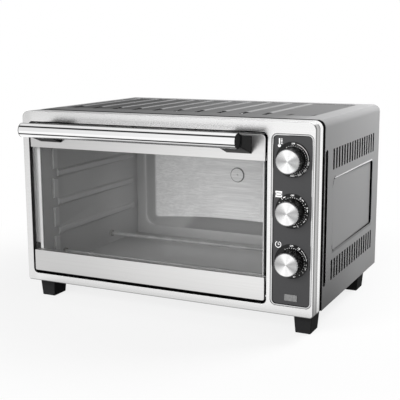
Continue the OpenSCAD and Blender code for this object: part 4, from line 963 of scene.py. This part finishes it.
class OVEN_OT_front_frame(Operator):
    """Dresses the stainless front frame and the black ring behind it"""
    bl_idname = "oven.front_frame"
    bl_label = "Front frame"

    def execute(self, context):
        sizes, colours = context.scene.oven_sizes, context.scene.oven_colours
        low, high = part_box("front_fascia")
        depth = high.y - low.y
        sheet, edge = sizes.frame_sheet, sizes.sheet_round
        start, end, deep = sizes.bead_at, sizes.bead_at + sizes.bead_wide, sizes.bead_deep
        bm = bmesh.new()
        groove = [(0.0, start), (deep, start + edge), (deep, end - edge), (0.0, end)]
        rear = [(0.0, depth - edge), (edge, depth), (sheet, depth), (sheet, sheet)]
        profile = quarter(sizes.front_round) + groove + rear
        outer = rings(bm, low, high, (sizes.frame_low, sizes.frame_top), profile)
        sill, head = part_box("door_sill_rail")[0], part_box("door_head_rail")[1]
        gap = Vector((sizes.door_side, 0, sizes.door_side))
        low, high = sill - Vector((sizes.door_side, 0, sizes.door_under)), head + gap
        mouth = quarter(2 * edge, 3) + [(0.0, sizes.lip), (sheet, sizes.lip), (sheet, sheet)]
        door = rings(bm, low, high, [sizes.opening_round] * 2, mouth, -1)
        slack = Vector((0.1 * MM, 0, 0.1 * MM))
        low, high = [corner + way * slack for corner, way in zip(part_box("panel_trim"), (-1, 1))]
        window = rings(bm, low, high, [sizes.rim_round] * 2, quarter(edge, 2) + [(0.0, sheet)], -1)
        skin(bm, outer)
        skin(bm, window)
        plain = set(bm.faces)
        skin(bm, door)
        # Faces of the opening's lip deeper than its rounded edge get a painted shade.
        for face in set(bm.faces) - plain:
            face.material_index = int(face.calc_center_median().y > FRONT + 2 * edge)
        field(bm, outer[0], door[0], window[0])
        field(bm, outer[-1], door[-1], window[-1])
        outwards(bm)
        # The frame steel gets painted reflection bands on its sides, back to just behind the bead groove.
        steel = brushed_steel("frame steel", colours.front, rough=0.22, hem=end + 0.5 * MM)
        black = grained_plastic("ring plastic", colours.dark, 0.8, 0.0)
        shade = satin_paint("lip painted shade", colours.panel, 0.7, 0.05)
        piece("front_frame", bm, HOUSING, (steel, shade), ("front_fascia",))
        self.spacer(sizes, black)
        return {"FINISHED"}

    @staticmethod
    def spacer(sizes, finish):
        """Black ring between the frame and the wrap, plugged into both."""
        low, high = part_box("front_fascia")
        start, end = [corner.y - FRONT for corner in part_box("fascia_spacer")]
        near, far = high.y - FRONT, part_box("outer_shell")[0].y - FRONT
        show, plug, deep = sizes.ring_in, sizes.frame_sheet + 0.2 * MM, sizes.ring_deep
        wall = [(plug, start), (plug, near), (show, near), (show, far), (plug, far), (plug, end)]
        wall += [(deep, end), (deep, start)]
        bm = bmesh.new()
        made = rings(bm, low, high, (sizes.frame_low, sizes.frame_top), wall)
        skin(bm, made + made[:1])
        bmesh.ops.remove_doubles(bm, verts=bm.verts, dist=WELD)
        outwards(bm)
        piece("spacer_ring", bm, HOUSING, finish, ("fascia_spacer",))


class OVEN_OT_door(Operator):
    """Dresses the door's rails, glass, end caps and hinge"""
    bl_idname = "oven.door"
    bl_label = "Door"

    def execute(self, context):
        sizes, colours = context.scene.oven_sizes, context.scene.oven_colours
        # The door steel gets a stronger painted shade towards the left.
        steel = brushed_steel("door steel", colours.door, drift_and_shade=0.29)
        dress("door_head_rail", steel, sizes.rail_round, 3)
        dress("door_sill_rail", steel, sizes.rail_round, 3)
        dress("door_glass", door_pane("door glass", colours.glass), sizes.sheet_round)
        black = grained_plastic("door plastic", colours.plastic)
        dress("head_rail_caps", black, sizes.sheet_round)
        dress("hinge_blocks", black, sizes.sheet_round)
        steel = bright_plating("pin plating", colours.chrome, 0.2)
        dress("hinge_pins", steel, sizes.sheet_round)
        paint_nodes(["door_spring"], steel)
        dress("hinge_brackets", plated_sheet("hinge plating", colours.zinc), sizes.sheet_round)
        return {"FINISHED"}


class OVEN_OT_handle(Operator):
    """Dresses the bar handle, its plugs and its brackets"""
    bl_idname = "oven.handle"
    bl_label = "Handle"

    def execute(self, context):
        sizes, colours = context.scene.oven_sizes, context.scene.oven_colours
        self.tube(sizes, bright_plating("handle chrome", colours.chrome, 0.0))
        black = grained_plastic("handle plastic", colours.plastic, 0.4, 0.04)
        self.plugs(sizes, black)
        dress("handle_bracket_left", black, sizes.grip_round, 3)
        dress("handle_bracket_right", black, sizes.grip_round, 3)
        return {"FINISHED"}

    @staticmethod
    def tube(sizes, finish):
        """A smooth tube with rolled ends."""
        low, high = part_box("handle_tube")
        radius = (high.z - low.z) / 2
        bm = bmesh.new()
        bmesh.ops.create_circle(bm, cap_ends=False, segments=96, radius=radius)
        at = Matrix.Translation((low.x, middle("handle_tube").y, middle("handle_tube").z))
        bmesh.ops.transform(bm, matrix=at @ Matrix.Rotation(math.pi / 2, 4, "Y"), verts=bm.verts)
        made = bmesh.ops.extrude_edge_only(bm, edges=bm.edges[:])
        ends = [v for v in made["geom"] if isinstance(v, bmesh.types.BMVert)]
        bmesh.ops.translate(bm, vec=(high.x - low.x, 0, 0), verts=ends)
        outwards(bm)
        bmesh.ops.solidify(bm, geom=bm.faces[:], thickness=sizes.tube_wall)
        soften(bm, sizes.sheet_round)
        piece("handle_bar", bm, "door", finish, ("handle_tube",))

    @staticmethod
    def plugs(sizes, finish):
        """End plugs with a raised rim round a dished face."""
        low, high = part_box("handle_plugs")
        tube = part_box("handle_tube")
        radius = (high.z - low.z) / 2
        bm = bmesh.new()
        for end, start, way in ((low.x, tube[0].x, -1), (high.x, tube[1].x, 1)):
            at = Matrix.Translation((start, middle("handle_tube").y, middle("handle_tube").z))
            turn = at @ Matrix.Rotation(way * math.pi / 2, 4, "Y")
            made = bmesh.ops.create_circle(bm, cap_ends=True, segments=64, radius=radius, matrix=turn)
            disc = made["verts"][0].link_faces[0]
            back = bmesh.ops.extrude_face_region(bm, geom=[disc], use_keep_orig=True)["geom"]
            face = next(f for f in back if isinstance(f, bmesh.types.BMFace))
            bmesh.ops.translate(bm, vec=(end - start, 0, 0), verts=face.verts)
            bmesh.ops.inset_region(bm, faces=[face], thickness=sizes.plug_rim, use_even_offset=True)
            bmesh.ops.inset_region(bm, faces=[face], thickness=sizes.sheet_round, use_even_offset=True)
            bmesh.ops.translate(bm, vec=((start - end) * 0.7, 0, 0), verts=face.verts)
        outwards(bm)
        soften(bm, sizes.sheet_round / 2)
        piece("end_plugs", bm, "door", finish, ("handle_plugs",))


class OVEN_OT_panel(Operator):
    """Dresses the control panel, its rim and the pilot lens"""
    bl_idname = "oven.panel"
    bl_label = "Control panel"

    def execute(self, context):
        sizes, colours = context.scene.oven_sizes, context.scene.oven_colours
        centres = [middle(knob) for knob in DIALS]
        dress("control_panel", panel_paint("panel paint", colours, centres, sizes.dial), sizes.sheet_round)
        # The rim's plating gets painted shade behind the front of its bead.
        self.rim(sizes, bright_plating("rim chrome", colours.rim, 0.1, (0.25 * MM, 0.9 * MM)))
        self.lens(sizes, lamp_plastic("pilot lens", colours.lens))
        return {"FINISHED"}

    @staticmethod
    def rim(sizes, finish):
        """Half-round bead round the panel."""
        low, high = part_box("panel_trim")
        depth, wide = high.y - low.y, sizes.rim_wide
        turns = [math.pi * i / 10 for i in range(11)]
        bulge = [(wide / 2 * (1 - math.cos(t)), wide / 2 * (1 - math.sin(t))) for t in turns]
        bm = bmesh.new()
        made = rings(bm, low, high, [sizes.rim_round] * 2, [(0.0, depth)] + bulge + [(wide, depth)])
        skin(bm, made + made[:1])
        outwards(bm)
        piece("panel_rim", bm, HOUSING, finish, ("panel_trim",))

    @staticmethod
    def lens(sizes, finish):
        """Pilot lens with upright ribs across its face."""
        low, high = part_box("pilot_lamp_lens")
        span = high - low
        bm = bmesh.new()
        for v in upright_grid(bm, low, span, LENS_RIBS, 1):
            v.co.y += sizes.lens_rib * (round((v.co.x - low.x) / span.x * LENS_RIBS) % 2)
        back = bmesh.ops.extrude_face_region(bm, geom=bm.faces[:], use_keep_orig=True)["geom"]
        for v in [v for v in back if isinstance(v, bmesh.types.BMVert)]:
            v.co.y = high.y
        outwards(bm)
        piece("ribbed_lens", bm, HOUSING, finish, ("pilot_lamp_lens",))


class OVEN_OT_marks(Operator):
    """Prints numerals, dots and plain signs on the dials and the panel"""
    bl_idname = "oven.marks"
    bl_label = "Printed marks"

    def execute(self, context):
        sizes, colours = context.scene.oven_sizes, context.scene.oven_colours
        self.thick = sizes.print_height
        self.bm = bmesh.new()
        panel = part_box("control_panel")[0].y
        heat, work, time = [middle(knob) for knob in DIALS]
        for centre in (heat, work, time):
            centre.y = panel + sizes.dial_deep
        size, ring_at, dots = sizes.numeral, sizes.mark_ring, sizes.dot_ring
        for centre in (heat, work, time):
            self.word(centre, "OFF", 0.75 * size, ring_at, 0)
            for step in range(-3, 19):
                self.dot(centre, dots, 10 * step, 0.5 * MM)
        for turn, text in ((100, "100"), (127, "150"), (154, "200"), (181, "250")):
            self.word(heat, text, size, ring_at, turn)
            self.dot(heat, ring_at, turn - 13, 0.6 * MM)
        self.arc(heat, ring_at, 14, 84)
        for turn, text in ((-38, "1"), (38, "2"), (80, "3"), (122, "4"), (164, "5")):
            self.word(work, text, size, ring_at, turn - 6)
            self.arc(work, ring_at, turn, turn + 10, 1.1 * MM)
        for turn in (-60, 59, 101, 143):
            self.dot(work, ring_at, turn, 0.6 * MM)
        for turn, text in ((28, "10"), (112, "30"), (168, "60")):
            self.word(time, text, size, ring_at, turn)
        self.arc(time, ring_at, 40, 84)
        for turn in (56, 78, 98, 130, 148):
            self.dot(time, ring_at, turn, 0.7 * MM)
        self.signs(panel, sizes.dial, sizes.sign * MM, heat, work, time)
        bmesh.ops.remove_doubles(self.bm, verts=self.bm.verts, dist=WELD)
        outwards(self.bm)
        piece("dial_marks", self.bm, HOUSING, printed("mark ink", colours.mark))
        return {"FINISHED"}

    def at(self, centre, turn, x, z):
        """Place of a mark that stands off from a centre, turned about it."""
        return (Matrix.Translation(centre) @ Matrix.Rotation(math.radians(turn), 4, "Y")
                @ Matrix.Translation((x, -self.thick / 2, z)))

    def word(self, centre, text, size, ring_at, turn):
        """A line of print on a dial, its head outwards."""
        curve = bpy.data.curves.new("print", "FONT")
        curve.body, curve.size, curve.resolution_u = text, size, 2
        curve.align_x = curve.align_y = "CENTER"
        curve.extrude = self.thick / 2
        curve.offset = 0.015 * size
        line = bpy.data.objects.new("print", curve)
        mesh = bpy.data.meshes.new_from_object(line)
        bpy.data.objects.remove(line)
        bpy.data.curves.remove(curve)
        mesh.transform(self.at(centre, turn, 0, ring_at) @ UPRIGHT)
        self.bm.from_mesh(mesh)
        bpy.data.meshes.remove(mesh)

    def dot(self, centre, ring_at, turn, radius):
        """A round dot on a dial."""
        bmesh.ops.create_cone(self.bm, cap_ends=True, segments=10, radius1=radius, radius2=radius,
                              depth=self.thick, matrix=self.at(centre, turn, 0, ring_at) @ UPRIGHT)

    def bar(self, centre, x, z, wide, high, turn=0):
        """A straight stroke whose middle stands off from a centre."""
        size = Matrix.Diagonal((wide, self.thick, high, 1))
        bmesh.ops.create_cube(self.bm, size=1.0, matrix=self.at(centre, turn, x, z) @ size)

    def arc(self, centre, ring_at, start, end, wide=0.55 * MM):
        """A curved stroke from one turn to another."""
        place = self.at(centre, start, 0, ring_at) @ Matrix.Rotation(math.pi / 2, 4, "Y")
        made = bmesh.ops.create_grid(self.bm, x_segments=1, y_segments=1, size=0.5,
                                     matrix=place @ Matrix.Diagonal((wide, self.thick, 1, 1)))
        face = made["verts"][0].link_faces[0]
        bmesh.ops.spin(self.bm, geom=[face], cent=centre, axis=(0, 1, 0), angle=math.radians(end - start),
                       steps=max(2, int((end - start) / 4)), use_duplicate=False)

    def signs(self, panel, dial, unit, heat, work, time):
        """Plain signs at the upper left of the dials: a thermometer, an oven and a clock face."""
        out = Vector((-0.80 * dial, 0, 0.92 * dial))
        spots = [Vector((centre.x, panel, centre.z)) + out for centre in (heat, work, time)]
        self.dot(spots[0] - Vector((0, 0, 2.9 * unit)), 0.0, 0, 1.7 * unit)
        self.bar(spots[0], 0, 1.0 * unit, 1.2 * unit, 7.2 * unit)
        for row in range(4):
            self.bar(spots[0], 2.4 * unit, (3.9 - 1.5 * row) * unit, 2.0 * unit, 0.6 * unit)
        for row in (-2.4, 0, 2.4):
            self.bar(spots[1], 0, row * unit, 7.2 * unit, 1.6 * unit)
        for side in (-3.1, 3.1):
            self.bar(spots[1], side * unit, 0, 1.0 * unit, 3.4 * unit)
        self.arc(spots[2], 3.1 * unit, 20, 340, 0.7 * unit)
        self.bar(spots[2], 0, 1.1 * unit, 0.6 * unit, 2.2 * unit)
        self.bar(spots[2], 0, 0.8 * unit, 0.6 * unit, 1.6 * unit, 90)


class OVEN_OT_knobs(Operator):
    """Dresses the three fluted knobs and their spun faces"""
    bl_idname = "oven.knobs"
    bl_label = "Knobs"

    def execute(self, context):
        sizes, colours = context.scene.oven_sizes, context.scene.oven_colours
        for knob in DIALS:
            low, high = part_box(knob)
            # The fluted sides get painted shade, black in the flutes and towards the back.
            side = fluted_plating(knob + " plating", colours, middle(knob), low.y, (high.z - low.z) / 2)
            dress(knob, side, sizes.knob_round)
            # The spun faces get a painted reflection in light and dark sectors.
            face = knob + "_face"
            dress(face, spun_face(face, colours.knob_face, middle(knob)), sizes.knob_round / 2)
            dress(knob.replace("knob", "spindle"), bright_plating(knob + " spindle", colours.zinc, 0.25), 0.0)
        return {"FINISHED"}


class OVEN_OT_cavity(Operator):
    """Dresses the cavity's walls, its bulged back, the heaters and their insulators"""
    bl_idname = "oven.cavity"
    bl_label = "Cavity"

    def execute(self, context):
        sizes, colours = context.scene.oven_sizes, context.scene.oven_colours
        sheet = Vector((LINER_SHEET, 0, 0))
        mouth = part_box("liner_floor")[0] + sheet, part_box("liner_floor")[1] - sheet
        # The liner's outer faces, seen through the slots, get a painted black shade.
        outside = satin_paint("liner outside", colours.dark, 0.8, 0.0)
        # The side walls get painted highlights on their guides, painted shade on faces that look to the front
        # and painted light to the rear.
        wall = (liner_steel("wall steel", colours.liner, pressed=mouth), outside)
        for node, way in (("liner_left_wall", 1), ("liner_right_wall", -1)):
            low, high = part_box(node)
            face = (low.x if way > 0 else high.x) + way * (LINER_SHEET + 0.3 * MM)
            dress(node, wall, sizes.guide_round, 3, lambda e: all((v.co.x - face) * way > 0 for v in e.verts),
                  lambda f: f.normal.x * way < -0.3)
        steel = (liner_steel("liner steel", colours.liner), outside)
        for node, way in (("liner_floor", 1), ("liner_roof", -1)):
            dress(node, steel, 0.0, hidden=lambda f: f.normal.z * way < -0.3)
        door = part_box("door_sill_rail")[0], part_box("door_head_rail")[1]
        # The flange gets painted light and shade round the door.
        dress("liner_front_frame", flange_steel("flange steel", colours.flange, door, mouth), 0.0)
        bright = drawn_steel("back wall steel", colours.back)
        self.back_wall(sizes, bright)
        # The cap's rim and back get the painted black shade.
        dress("back_cap", (bright, outside), sizes.sheet_round, hidden=lambda f: f.normal.y > -0.9)
        tint = heat_tint("heater sheath", colours.heater)
        for row in ("lower_front", "lower_rear", "upper_front", "upper_rear"):
            dress("heater_" + row, tint, 0.0)
        dress("heater_insulators", glaze("ceramic glaze", colours.ceramic), sizes.sheet_round)
        return {"FINISHED"}

    @staticmethod
    def back_wall(sizes, finish):
        """Back sheet with a wide recess drawn into it that is deepest in the middle."""
        low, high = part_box("liner_back")
        span = high - low
        deep, edge = span.y - LINER_SHEET, sizes.recess_edge
        bm = bmesh.new()
        upright_grid(bm, low, span, 150, 90)
        wide = span.x / 2 - sizes.recess_side
        foot, head = low.z + sizes.recess_low, high.z - sizes.recess_head
        centre = Vector((low.x + span.x / 2, 0, (foot + head) / 2))
        tall, corner = (head - foot) / 2, sizes.recess_round
        for v in bm.verts:
            across, upright = abs(v.co.x - centre.x) - wide + corner, abs(v.co.z - centre.z) - tall + corner
            inside = corner - math.hypot(max(across, 0), max(upright, 0)) - min(max(across, upright), 0)
            share = min(max(inside / sizes.recess_wall, 0), 1)
            arc = max(1 - ((v.co.x - centre.x) / wide) ** 2, 0)
            v.co.y += share * share * (3 - 2 * share) * (edge + (deep - edge) * arc)
        outwards(bm)
        if sum(f.normal.y for f in bm.faces) > 0:
            bmesh.ops.reverse_faces(bm, faces=bm.faces)
        bmesh.ops.solidify(bm, geom=bm.faces[:], thickness=LINER_SHEET)
        piece("back_wall", bm, HOUSING, finish, ("liner_back",))


class OVEN_OT_works(Operator):
    """Dresses what lies behind the panel: controls, lamp body, fan, wiring and their brackets"""
    bl_idname = "oven.works"
    bl_label = "Works"

    def execute(self, context):
        sizes, colours = context.scene.oven_sizes, context.scene.oven_colours
        ivory = grained_plastic("ivory plastic", colours.ivory, 0.5)
        for node in ("pilot_lamp_body", "terminal_block"):
            dress(node, ivory, sizes.sheet_round)
        moulded = grained_plastic("control plastic", colours.control, 0.5, 0.05)
        for node in ("thermostat", "function_switch", "timer"):
            dress(node, moulded, sizes.sheet_round)
        tray = satin_paint("tray paint", colours.tray, 0.7, 0.05)
        for node in ("control_bracket", "fan_housing"):
            dress(node, tray, sizes.sheet_round)
        dress("fan_motor", satin_paint("motor enamel", colours.tray), 2 * sizes.sheet_round)
        dress("fan_impeller", plated_sheet("fan metal", colours.chrome), 0.0)
        dress("fan_shaft", bright_plating("shaft steel", colours.zinc, 0.2), 0.0)
        dress("wiring_loom", grained_plastic("wire sleeve", colours.wire, 0.6), 0.0)
        return {"FINISHED"}


class OVEN_PT_dressing(Panel):
    """Lists the steps that dress the oven"""
    bl_label = "Oven Dressing"
    bl_idname = "OVEN_PT_dressing"
    bl_space_type = "VIEW_3D"
    bl_region_type = "UI"
    bl_category = "Oven"

    def draw(self, context):
        for step in STEPS:
            self.layout.operator(step.bl_idname)
        for group in (context.scene.oven_sizes, context.scene.oven_colours, context.scene.oven_stage):
            box = self.layout.box()
            for key in group.__annotations__:
                box.prop(group, key)


GROUPS = {"oven_sizes": OvenSizes, "oven_colours": OvenColours, "oven_stage": OvenStage}
STEPS = (OVEN_OT_stage, OVEN_OT_shell, OVEN_OT_front_frame, OVEN_OT_door, OVEN_OT_handle, OVEN_OT_panel,
         OVEN_OT_marks, OVEN_OT_knobs, OVEN_OT_cavity, OVEN_OT_works)


def register():
    for name, group in GROUPS.items():
        bpy.utils.register_class(group)
        setattr(bpy.types.Scene, name, PointerProperty(type=group))
    for step in STEPS + (OVEN_PT_dressing,):
        bpy.utils.register_class(step)


def unregister():
    for step in (OVEN_PT_dressing,) + STEPS[::-1]:
        bpy.utils.unregister_class(step)
    for name, group in GROUPS.items():
        delattr(bpy.types.Scene, name)
        bpy.utils.unregister_class(group)


def main():
    """Dresses the oven step by step."""
    register()
    for step in STEPS:
        area, name = step.bl_idname.split(".")
        getattr(getattr(bpy.ops, area), name)()


if __name__ == "__main__":
    main()
